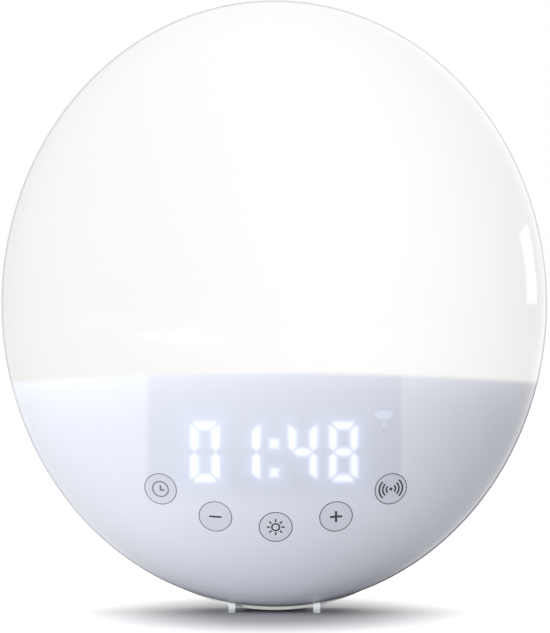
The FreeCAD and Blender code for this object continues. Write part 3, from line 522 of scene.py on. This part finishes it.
# %% [markdown]
# The material joins the shapes. The shell's own colour comes first, then the light that comes
# through it: what strays below the divider, the halo, the sign, the digits, and last the lamp. A
# thin gloss coat mirrors the room, and it ends where the rim begins.

# %% Material: opal dome
def dome_light(tree, x, z, wall_x, above, lit):
    """The colour of the light that comes through the wall."""
    nearest = digit_distance(tree, x, z)
    digits = soft_step(tree, nearest, *DIGIT_EDGE)
    reach = sums(tree, "MULTIPLY", sums(tree, "MAXIMUM", nearest, 0.0), HALO_FADE)
    halo = sums(tree, "EXPONENT", reach)
    below = sums(tree, "DIVIDE", sums(tree, "MINIMUM", above, 0.0), STRAY_REACH)
    stray = sums(tree, "EXPONENT", below)
    glow = blend(tree, sums(tree, "MULTIPLY", stray, STRAY), BLACK, LAMP_WHITE)
    glow = blend(tree, sums(tree, "MULTIPLY", halo, HALO), glow, HALO_LIGHT)
    sign = sums(tree, "MULTIPLY", sign_mask(tree, x, z), SIGN_LEVEL)
    glow = blend(tree, sign, glow, SIGN_LIGHT)
    glow = blend(tree, sums(tree, "MULTIPLY", digits, DIGIT_LEVEL), glow, DIGIT_LIGHT)
    lamp_level = soft_step(tree, wall_x, *LAMP_SPAN, *LAMP_LEVELS)
    lamp_light = blend(tree, lamp_level, BLACK, LAMP_WHITE)
    return blend(tree, lit, glow, lamp_light)


def make_dome_material():
    """The opal wall: its own colour, and the light that comes through it."""
    material, tree, shader = new_material("Opal dome")
    place = add(tree, "ShaderNodeTexCoord").outputs["Object"]
    inputs = {0: place, "Scale": 1 / MM}
    wall_point = add(tree, "ShaderNodeVectorMath", inputs, operation="SCALE").outputs["Vector"]
    parts = add(tree, "ShaderNodeSeparateXYZ", {0: wall_point}).outputs
    wall_x, wall_z = parts["X"], parts["Z"]
    x = sums(tree, "MULTIPLY", wall_x, NEARER)
    z = sums(tree, "MULTIPLY_ADD", sums(tree, "SUBTRACT", wall_z, EYE_UP), NEARER, EYE_UP)

    # The divider's line is an arc: above is how far over it the point is
    drop = sums(tree, "SUBTRACT", wall_z, ARCH_TOP - ARCH_RADIUS)
    above = sums(tree, "SUBTRACT", distance(tree, wall_x, drop), ARCH_RADIUS)
    lit = soft_step(tree, above, -EDGE_SOFT, EDGE_SOFT)
    rim, painted_rim_shade = rim_and_painted_shade(tree, wall_x, wall_z)

    skin = moulded(tree, gloss=0.07, change=0.03, clouds=12.0, grain=900.0)
    lower = blend(tree, window_mask(tree, x, z), LOWER_SHELL, WINDOW_TINT)
    lower = blend(tree, key_mask(tree, wall_point), lower, KEY_TINT)
    tone = soft_step(tree, skin["Tone"], *TONE_STEP)
    lower = blend(tree, sums(tree, "MULTIPLY", tone, LOWER_DRIFT), lower, LOWER_DARK)
    body = blend(tree, lit, lower, LAMP_SHELL)
    # Painted shade along the rim: it darkens the wall's colour and its glow.
    body = blend(tree, painted_rim_shade, body, RIM_PAINTED_SHADE)
    glow = dome_light(tree, x, z, wall_x, above, lit)
    glow = blend(tree, painted_rim_shade, glow, BLACK)

    dull = sums(tree, "MAXIMUM", skin["Roughness"], painted_rim_shade)
    coat = soft_step(tree, rim, 0.0, 1.0, DOME_COAT, 0.0)
    tree.links.new(body, shader.inputs["Base Color"])
    tree.links.new(glow, shader.inputs["Emission Color"])
    tree.links.new(dull, shader.inputs["Roughness"])
    tree.links.new(coat, shader.inputs["Coat Weight"])
    shader.inputs["Emission Strength"].default_value = 1.0
    shader.inputs["Specular IOR Level"].default_value = DOME_SPECULAR
    shader.inputs["Coat Roughness"].default_value = DOME_COAT_ROUGHNESS
    raise_skin(tree, shader, skin["Height"], DOME_RELIEF)
    return material


dress("front_dome", make_dome_material())

# %% [markdown]
# ## The other mouldings
#
# The housing is a satin white, the inner frame a plain matt white, and the mask a smoky grey.
# Black and cream plastics are what chips, sockets and inlets are moulded in. A foam is a plastic
# with a coarse, dull skin, so the same recipe serves with a stronger relief.

# %% Materials: mouldings
housing_white = plastic(
    "Satin white housing",
    colour(232, 232, 230),
    colour(243, 243, 241),
    gloss=0.34,
    relief=0.12,
    grain=1800.0,
)
for node in ("rear_housing", "battery_door"):
    dress(node, housing_white)
frame_white = plastic(
    "Matt white frame", colour(226, 226, 222), colour(238, 238, 234), gloss=0.6, relief=0.1
)
for node in ("chassis", "light_baffle"):
    dress(node, frame_white)
smoke = plastic("Smoky mask", colour(150, 156, 168), colour(172, 178, 190), gloss=0.45, relief=0.08)
dress("display_mask", smoke)
black = plastic("Black display block", colour(14, 14, 16), colour(24, 24, 27), gloss=0.4)
dress("display_block", black)
resin = plastic("Chip resin", colour(18, 18, 19), colour(32, 32, 34), gloss=0.55, relief=0.2)
dress("board_chips", resin)
cream = plastic("Cream connectors", colour(222, 214, 188), colour(236, 230, 208), gloss=0.45)
dress("board_connectors", cream)
dress("power_inlet", plastic("Black inlet", colour(12, 12, 13), colour(26, 26, 28), gloss=0.38))
sheet = plastic("Reflector sheet", colour(244, 244, 244), colour(250, 250, 250), gloss=0.5)
dress("reflector_sheet", sheet)

# %% Materials: foams
pad_foam = plastic(
    "Conductive foam", colour(26, 26, 28), colour(52, 52, 56), gloss=0.9, relief=0.9, grain=1400.0
)
dress("touch_pads", pad_foam)
seal_foam = plastic(
    "Sealing foam", colour(16, 16, 17), colour(36, 36, 38), gloss=0.95, relief=0.9, grain=1600.0
)
dress("speaker_gasket", seal_foam)

# %% [markdown]
# The foot strips are clear and lie in the shade of the clock. A little light passes through them,
# which Transmission Weight gives. Light that the real strips catch from the glowing dome is added
# as a weak light of their own.

# %% Material: clear foot strips
STRIP_CLEAR = 0.75
STRIP_LIGHT = colour(244, 246, 250)
STRIP_LEVEL = 0.14
STRIP_IOR = 1.45


def make_clear_material():
    """A clear, slightly uneven plastic."""
    material, tree, shader = new_material("Clear foot strips")
    skin = moulded(tree, gloss=0.16, change=0.1, clouds=120.0, grain=2200.0)
    tone = soft_step(tree, skin["Tone"], *TONE_STEP)
    tint = blend(tree, tone, colour(228, 233, 238), colour(242, 246, 249))
    tree.links.new(tint, shader.inputs["Base Color"])
    tree.links.new(skin["Roughness"], shader.inputs["Roughness"])
    shader.inputs["Transmission Weight"].default_value = STRIP_CLEAR
    shader.inputs["Emission Color"].default_value = STRIP_LIGHT
    shader.inputs["Emission Strength"].default_value = STRIP_LEVEL
    shader.inputs["IOR"].default_value = STRIP_IOR
    return material


clear_strip = make_clear_material()
for node in ("foot_strip_left", "foot_strip_right"):
    dress(node, clear_strip)

# %% [markdown]
# ## Boards, light guides and metals
#
# A circuit board's colour is its solder mask, over copper tracks that show as slightly paler
# lines. A Brick texture is a quick way to such tracks: its mortar is the copper. It is turned,
# because the boards stand upright and the texture lies flat.

# %% Materials: boards
UPRIGHT = (math.radians(90), 0.0, 0.0)
TRACKS = {"Scale": 90.0, "Mortar Size": 0.03}
TRACK_RELIEF = 0.3
TRACK_DEPTH = 0.05 * MM


def board(name, mask, track, gloss):
    """Solder mask with pale tracks under it."""
    material, tree, shader = new_material(name)
    place = add(tree, "ShaderNodeTexCoord").outputs["Object"]
    laid = add(tree, "ShaderNodeMapping", {"Vector": place, "Rotation": UPRIGHT}).outputs[0]
    inputs = {"Vector": laid, "Color1": mask, "Color2": mask, "Mortar": track, **TRACKS}
    tracks = add(tree, "ShaderNodeTexBrick", inputs).outputs
    tree.links.new(tracks["Color"], shader.inputs["Base Color"])
    skin = moulded(tree, gloss, change=0.1)
    tree.links.new(skin["Roughness"], shader.inputs["Roughness"])
    raise_skin(tree, shader, tracks["Fac"], TRACK_RELIEF, TRACK_DEPTH)
    return material


board_green = board("Green board", colour(18, 84, 50), colour(52, 122, 78), gloss=0.3)
for node in ("front_board", "main_board"):
    dress(node, board_green)
board_white = board("White board", colour(236, 236, 232), colour(220, 220, 214), gloss=0.35)
dress("lamp_board", board_white)

# %% [markdown]
# The guides of the lit bars and the lamps glow by themselves, so that the inside also looks right
# when the dome is lifted away. The bars that are off are the same frosted plastic without light.


# %% Materials: things that glow, and frosted guides
def glowing(name, shade, light, strength):
    """A frosted plastic that also gives light."""
    material, tree, shader = new_material(name)
    skin = moulded(tree, gloss=0.5, change=0.15, clouds=300.0)
    tint = blend(tree, soft_step(tree, skin["Tone"], *TONE_STEP), shade, light)
    tree.links.new(tint, shader.inputs["Base Color"])
    tree.links.new(tint, shader.inputs["Emission Color"])
    tree.links.new(skin["Roughness"], shader.inputs["Roughness"])
    shader.inputs["Emission Strength"].default_value = strength
    return material


lit_guide = glowing("Lit light guides", colour(226, 236, 255), DIGIT_LIGHT, strength=1.2)
dress("display_lit_segments", lit_guide)
emitter = glowing("Lamp emitters", colour(255, 214, 120), colour(255, 232, 170), strength=0.8)
dress("lamp_emitters", emitter)
frosted = plastic("Frosted light guides", colour(150, 154, 162), colour(172, 176, 184), gloss=0.5)
for node in ("display_dark_segments", "wireless_sign"):
    dress(node, frosted)

# %% [markdown]
# Cans, shields, pins and screws are drawn or rolled metal. The magnet is ferrite, a dark and
# grainy ceramic, and the cone is pressed paper: the plastic recipe with a strong relief gives
# both.

# %% Materials: metals, ferrite and paper
can_metal = metal("Capacitor cans", colour(170, 172, 178), colour(214, 216, 220), gloss=0.3)
dress("board_capacitors", can_metal)
shield = metal("Tinned shield", colour(168, 168, 164), colour(208, 208, 202), gloss=0.25)
dress("wireless_module", shield)
dress("speaker_frame", metal("Dark zinc frame", colour(40, 40, 44), colour(70, 70, 76), gloss=0.4))
pin_metal = metal("Plated brass", colour(196, 188, 164), colour(226, 220, 200), gloss=0.2)
for node in ("power_pin", "battery_contact"):
    dress(node, pin_metal)
dress("coin_cell", metal("Bright cell", colour(186, 188, 192), colour(224, 226, 230), gloss=0.18))
screw_zinc = metal("Zinc screws", colour(120, 122, 126), colour(168, 170, 174), gloss=0.28)
for node in ("housing_screws", "board_screws"):
    dress(node, screw_zinc)
ferrite = plastic(
    "Ferrite", colour(34, 33, 34), colour(56, 55, 56), gloss=0.75, relief=0.6, grain=900.0
)
dress("speaker_magnet", ferrite)
paper = plastic("Pressed paper", colour(20, 20, 21), colour(40, 40, 42), gloss=0.9, relief=0.8)
dress("speaker_cone", paper)

# %% [markdown]
# Behind the grille lies a woven cloth that lets sound through and keeps dust out. Two sets of
# waves at right angles, multiplied, leave a raised spot where two threads cross.

# %% Material: acoustic cloth
THREADS = 900.0
CLOTH_DARK = colour(10, 10, 11)
CLOTH_LIGHT = colour(44, 44, 47)
CLOTH_ROUGHNESS = (0.95, 0.75)
CLOTH_RELIEF = 0.6


def make_cloth_material():
    """A woven acoustic cloth."""
    material, tree, shader = new_material("Acoustic cloth")
    place = add(tree, "ShaderNodeTexCoord").outputs["Object"]
    inputs = {"Vector": place, "Scale": THREADS}
    threads = [
        add(tree, "ShaderNodeTexWave", inputs, bands_direction=direction).outputs["Fac"]
        for direction in ("X", "Z")
    ]
    weave = sums(tree, "MULTIPLY", *threads)
    tree.links.new(blend(tree, weave, CLOTH_DARK, CLOTH_LIGHT), shader.inputs["Base Color"])
    rough = soft_step(tree, weave, 0.0, 1.0, *CLOTH_ROUGHNESS)
    tree.links.new(rough, shader.inputs["Roughness"])
    raise_skin(tree, shader, weave, CLOTH_RELIEF)
    return material


dress("grille_cloth", make_cloth_material())

# %% [markdown]
# ## The printed keys
#
# Rings and signs are screen print: a film of ink a few hundredths of a millimetre thick. Each
# sign is drawn flat, in its key's own plane, from discs, rings, bars and arcs. The flat drawing
# is given the thickness of the ink, and every point is then moved along the key's direction until
# it lies on the dome. That keeps the circles round on the curved surface.

# %% Ink
INK_SUNK = 0.03 * MM
INK_PROUD = 0.03 * MM


def make_ink(name, dark, light):
    """A thin, slightly uneven film."""
    return plastic(name, dark, light, gloss=0.35, relief=0.1, grain=4000.0)


ring_ink = make_ink("Grey ring ink", colour(66, 68, 75), colour(80, 82, 90))
pale_ring_ink = make_ink("Pale ring ink", colour(104, 106, 114), colour(118, 120, 128))
dark_ink = make_ink("Dark sign ink", colour(52, 54, 60), colour(64, 66, 73))
pale_ink = make_ink("Pale sign ink", colour(112, 114, 122), colour(128, 130, 138))
print("thickness of the ink in mm:", (INK_SUNK + INK_PROUD) / MM)

# %% [markdown]
# Every sign is made of four flat shapes. A disc and a ring come from a circle, a bar from a grid,
# and an arc from a short edge that is spun about the middle.


# %% Flat shapes: ring, disc and bar
def ring(bm, radius, wide, u=0.0, v=0.0, sides=72):
    """A flat ring whose outside has that radius."""
    made = bmesh.ops.create_circle(bm, cap_ends=True, radius=radius, segments=sides)
    bmesh.ops.translate(bm, verts=made["verts"], vec=(u, v, 0))
    face = made["verts"][0].link_faces[0]
    bmesh.ops.inset_individual(bm, faces=[face], thickness=wide)
    bmesh.ops.delete(bm, geom=[face], context="FACES")


def disc(bm, radius, u=0.0, v=0.0, sides=32):
    """A flat disc with its middle at u, v."""
    made = bmesh.ops.create_circle(bm, cap_ends=True, radius=radius, segments=sides)
    bmesh.ops.translate(bm, verts=made["verts"], vec=(u, v, 0))


def bar(bm, long, wide, u=0.0, v=0.0, turn=0.0):
    """A flat bar with its middle at u, v, turned anticlockwise by turn degrees."""
    made = bmesh.ops.create_grid(bm, x_segments=6, y_segments=1, size=0.5)
    place = (
        Matrix.Translation((u, v, 0))
        @ Matrix.Rotation(math.radians(turn), 4, "Z")
        @ Matrix.Diagonal((long, wide, 1, 1))
    )
    bmesh.ops.transform(bm, matrix=place, verts=made["verts"])


# %% Flat shape: arc
def arc(bm, radius, wide, start, sweep, u=0.0, v=0.0, steps=14):
    """A flat band along part of a circle, swept anticlockwise from start, in degrees."""
    near = bm.verts.new((u + radius - wide / 2, v, 0))
    far = bm.verts.new((u + radius + wide / 2, v, 0))
    edge = bm.edges.new((near, far))
    centre = (u, v, 0)
    turn = Matrix.Rotation(math.radians(start), 3, "Z")
    bmesh.ops.rotate(bm, verts=[near, far], cent=centre, matrix=turn)
    bmesh.ops.spin(
        bm,
        geom=[near, far, edge],
        cent=centre,
        axis=(0, 0, 1),
        angle=math.radians(sweep),
        steps=steps,
    )


# %% [markdown]
# A point of the drawing reaches the dome along the key's own direction. In a space where the dome
# is a unit ball, that is where a straight line meets the ball, which a quadratic equation gives.


# %% Print a flat drawing on the dome
def travel_to_dome(point, out):
    """How far point is from the dome along out."""
    away = point - DOME_MIDDLE
    place = Vector([away[axis] / DOME_HALF[axis] for axis in range(3)])
    step = Vector([out[axis] / DOME_HALF[axis] for axis in range(3)])
    half = place.dot(step)
    root = math.sqrt(half**2 - step.dot(step) * (place.dot(place) - 1))
    return (root - half) / step.dot(step)


def print_on_dome(name, key, draw, ink):
    """Draw in the key's plane, give it the thickness of ink, and lay it on the dome."""
    middle = key_middles[key]
    out = dome_normal(middle)
    right = (Vector((1, 0, 0)) - out * out.x).normalized()
    up = right.cross(out)
    if up.z < 0:
        up = -up
    bm = bmesh.new()
    draw(bm)
    top = bmesh.ops.extrude_face_region(bm, geom=list(bm.faces))
    raised = [item for item in top["geom"] if isinstance(item, bmesh.types.BMVert)]
    bmesh.ops.translate(bm, verts=raised, vec=(0, 0, INK_SUNK + INK_PROUD))
    for vert in bm.verts:
        flat = middle + right * vert.co.x + up * vert.co.y
        vert.co = flat + out * (travel_to_dome(flat, out) + vert.co.z - INK_SUNK)
    bmesh.ops.recalc_face_normals(bm, faces=list(bm.faces))
    mesh = bpy.data.meshes.new(name)
    bm.to_mesh(mesh)
    bm.free()
    mesh.materials.append(ink)
    piece = bpy.data.objects.new(name, mesh)
    bpy.context.scene.collection.objects.link(piece)
    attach(piece, "clock")
    print("printed", name, len(mesh.polygons), "faces")
    return piece


# %% [markdown]
# Every key has the same thin ring. The two on the left look paler in the photograph, so they get
# a paler ink.

# %% Rings round all five keys
LINE = 0.27 * MM
PALE_RINGS = ("clock", "minus")


def draw_ring(bm):
    ring(bm, KEY_RADIUS, LINE)


for key in KEY_TURNS:
    print_on_dome(f"ring_{key}", key, draw_ring, pale_ring_ink if key in PALE_RINGS else ring_ink)


# %% [markdown]
# The signs: a clock face with two hands, a bar for less, a small sun, a cross for more, and a dot
# with three waves to each side for sound.

# %% Signs: clock, less and more
CLOCK_RADIUS = 2.85 * MM
CLOCK_LINE = 0.42 * MM
HAND = 0.6 * MM
HAND_UP = 1.9 * MM
HAND_UP_MIDDLE = 0.4 * MM
HAND_ASIDE = 1.05 * MM
HAND_ASIDE_MIDDLE = (0.82 * MM, -0.25 * MM)
MINUS_LONG = 4.1 * MM
MINUS_WIDE = 0.6 * MM
PLUS_LONG = 4.0 * MM
PLUS_WIDE = 0.76 * MM


def draw_clock(bm):
    ring(bm, CLOCK_RADIUS, CLOCK_LINE)
    bar(bm, HAND_UP, HAND, 0.0, HAND_UP_MIDDLE, 90)
    bar(bm, HAND_ASIDE, HAND, *HAND_ASIDE_MIDDLE)


def draw_minus(bm):
    bar(bm, MINUS_LONG, MINUS_WIDE)


def draw_plus(bm):
    """A bar and, above and below it, the two arms that complete the cross."""
    arm = (PLUS_LONG - PLUS_WIDE) / 2
    bar(bm, PLUS_LONG, PLUS_WIDE)
    for side in (-1, 1):
        bar(bm, arm, PLUS_WIDE, 0.0, side * (PLUS_WIDE + arm) / 2, 90)


# %% Signs: sun and sound
SUN_RADIUS = 1.5 * MM
SUN_LINE = 0.5 * MM
RAYS = 8
RAY_LONG = 1.1 * MM
RAY_WIDE = 0.5 * MM
RAY_AWAY = 2.4 * MM
SOUND_DOT = 0.55 * MM
WAVES = 3
WAVE_FIRST = 1.55 * MM
WAVE_STEP = 1.2 * MM
WAVE_LINE = 0.57 * MM
WAVE_STARTS = (-46, 134)
WAVE_SWEEP = 92


def draw_sun(bm):
    ring(bm, SUN_RADIUS, SUN_LINE)
    for number in range(RAYS):
        turn = 360 / RAYS * number
        angle = math.radians(turn)
        spot = (RAY_AWAY * math.cos(angle), RAY_AWAY * math.sin(angle))
        bar(bm, RAY_LONG, RAY_WIDE, *spot, turn)


def draw_sound(bm):
    disc(bm, SOUND_DOT)
    for number in range(WAVES):
        for start in WAVE_STARTS:
            arc(bm, WAVE_FIRST + number * WAVE_STEP, WAVE_LINE, start, WAVE_SWEEP)


# %% Print the signs
print_on_dome("sign_clock", "clock", draw_clock, pale_ink)
print_on_dome("sign_minus", "minus", draw_minus, dark_ink)
print_on_dome("sign_sun", "sun", draw_sun, dark_ink)
print_on_dome("sign_plus", "plus", draw_plus, dark_ink)
print_on_dome("sign_sound", "sound", draw_sound, dark_ink)

# %% [markdown]
# ## Floor, light and camera
#
# The clock stands on a plain white table that fades into a white room. To the camera the table
# adds a little light of its own, so it is white where nothing shades it. That light fades inside
# an oval at the foot, and there the table's grey is darkened to the camera: a painted shadow, laid
# over the real soft shadow under the clock, so that together they are about as deep as in the
# photograph. The added light falls on nothing: it shows only to the camera, in mirrors and
# through clear plastic.


# %% What is seen directly
def seen_directly(tree):
    """1 for what the camera sees, also in a mirror or through clear plastic, and 0 for the rest."""
    path = add(tree, "ShaderNodeLightPath").outputs
    seen = sums(tree, "MAXIMUM", path["Is Camera Ray"], path["Is Glossy Ray"])
    return sums(tree, "MAXIMUM", seen, path["Is Transmission Ray"])


# %% Floor
FLOOR_HALF = 6.0
FLOOR_FILL = 0.75
FLOOR_ROUGHNESS = 0.8
TABLE_GREY = colour(188, 188, 190)
FOOT_SHADE = (0.068, 0.16, 1.0)
FOOT_SHADE_MIDDLE = (0.0, -0.01, 0.0)
FOOT_SHADE_FADE = (0.2, 1.12)
FOOT_SHADE_DEPTH = 0.22


def make_table_material():
    """White to the camera, with a painted shadow, a soft dark oval, at the foot of the clock."""
    material, tree, shader = new_material("White table")
    seen = seen_directly(tree)
    place = add(tree, "ShaderNodeTexCoord").outputs["Object"]
    inputs = {0: place, 1: FOOT_SHADE_MIDDLE}
    centred = add(tree, "ShaderNodeVectorMath", inputs, operation="SUBTRACT").outputs["Vector"]
    inputs = {0: centred, 1: FOOT_SHADE}
    spread = add(tree, "ShaderNodeVectorMath", inputs, operation="DIVIDE").outputs["Vector"]
    away = add(tree, "ShaderNodeVectorMath", {0: spread}, operation="LENGTH").outputs["Value"]
    level = soft_step(tree, away, *FOOT_SHADE_FADE, 0.0, FLOOR_FILL)
    # Painted shadow: to the camera, the table's grey is darkened inside the oval at the foot.
    depth = soft_step(tree, away, *FOOT_SHADE_FADE, FOOT_SHADE_DEPTH, 0.0)
    table = blend(tree, sums(tree, "MULTIPLY", seen, depth), TABLE_GREY, BLACK)
    tree.links.new(table, shader.inputs["Base Color"])
    tree.links.new(sums(tree, "MULTIPLY", seen, level), shader.inputs["Emission Color"])
    shader.inputs["Emission Strength"].default_value = 1.0
    shader.inputs["Roughness"].default_value = FLOOR_ROUGHNESS
    return material


def make_floor():
    """A flat table top, much larger than the picture."""
    bm = bmesh.new()
    bmesh.ops.create_grid(bm, x_segments=1, y_segments=1, size=FLOOR_HALF)
    mesh = bpy.data.meshes.new("table_top")
    bm.to_mesh(mesh)
    bm.free()
    mesh.materials.append(make_table_material())
    floor = bpy.data.objects.new("table_top", mesh)
    bpy.context.scene.collection.objects.link(floor)
    print("table", 2 * FLOOR_HALF, "m wide")


make_floor()

# %% [markdown]
# The room is white to the camera. What it gives the clock is a plain, even light, less than half
# as strong, so that the white plastic keeps its tones.

# %% Room
AMBIENT = 0.42
AMBIENT_BLUE = AMBIENT * 1.03


def make_room():
    """A white room with an even light."""
    world = bpy.data.worlds.new("White room")
    world.use_nodes = True
    bpy.context.scene.world = world
    tree = world.node_tree
    background = tree.nodes["Background"]
    light = (AMBIENT, AMBIENT, AMBIENT_BLUE, 1.0)
    tree.links.new(blend(tree, seen_directly(tree), light, WHITE), background.inputs["Color"])
    background.inputs["Strength"].default_value = 1.0
    print("room light", AMBIENT)


make_room()

# %% [markdown]
# A wide lamp from the left and one above give soft edges, and a low one lights the foot. Only the
# small softbox behind the right edge is mirrored: it leaves the narrow highlight on the dome. The
# dome would show each of the others as a bright square.


# %% Lamps
def lamp(name, place, target, wide, tall, watts, mirrored=False):
    """A rectangular lamp at place that points at target; glossy surfaces mirror it on request."""
    data = bpy.data.lights.new(name, "AREA")
    data.shape = "RECTANGLE"
    data.size = wide
    data.size_y = tall
    data.energy = watts
    made = bpy.data.objects.new(name, data)
    made.location = place
    aim = Vector(target) - Vector(place)
    made.rotation_euler = aim.to_track_quat("-Z", "Y").to_euler()
    made.visible_glossy = mirrored
    bpy.context.scene.collection.objects.link(made)
    print("lamp", name, watts, "W")


CLOCK_MIDDLE = (0.0, 0.0, DOME_MIDDLE.z)
CLOCK_FOOT = (0.0, 0.0, 0.01)
TABLE_MIDDLE = (0.0, 0.0, 0.0)
lamp("key_light", (-1.6, -1.2, 0.35), CLOCK_MIDDLE, wide=0.8, tall=0.8, watts=11.6)
lamp("over_light", (0.0, 0.1, 1.2), TABLE_MIDDLE, wide=1.2, tall=1.2, watts=6.0)
lamp(
    "edge_softbox",
    (0.93, 0.36, 0.215),
    CLOCK_MIDDLE,
    wide=0.3,
    tall=0.24,
    watts=0.46,
    mirrored=True,
)
lamp("low_light", (-0.4, -0.9, 0.05), CLOCK_FOOT, wide=0.24, tall=0.06, watts=4.1)

# %% [markdown]
# The photograph is taken level, from some way off with a long lens. The camera does the same: it
# stands two metres away, and its lens takes in the height of the photograph's 550 by 633 pixels,
# a third of a millimetre each at the rim.

# %% Camera
LEVEL = (math.radians(90), 0, 0)
PHOTO_WIDE = 550
PHOTO_TALL = 633
PIXEL = 0.33 * MM
PHOTO_AXIS_X = 274.3
PHOTO_FLOOR_Y = 612.0
CAMERA_AWAY = 2.0
SENSOR = 36.0
FAR_CLIP = 30.0

eye = bpy.data.cameras.new("camera")
eye.sensor_width = SENSOR
eye.lens = SENSOR * CAMERA_AWAY / (PHOTO_TALL * PIXEL)
eye.clip_end = FAR_CLIP
camera = bpy.data.objects.new("camera", eye)
camera.location = (
    (PHOTO_WIDE / 2 - PHOTO_AXIS_X) * PIXEL,
    DOME_MIDDLE.y - CAMERA_AWAY,
    (PHOTO_FLOOR_Y - PHOTO_TALL / 2) * PIXEL,
)
camera.rotation_euler = LEVEL
bpy.context.scene.collection.objects.link(camera)
bpy.context.scene.camera = camera
bpy.context.scene.view_settings.view_transform = "Standard"
print("lens", round(eye.lens), "mm")
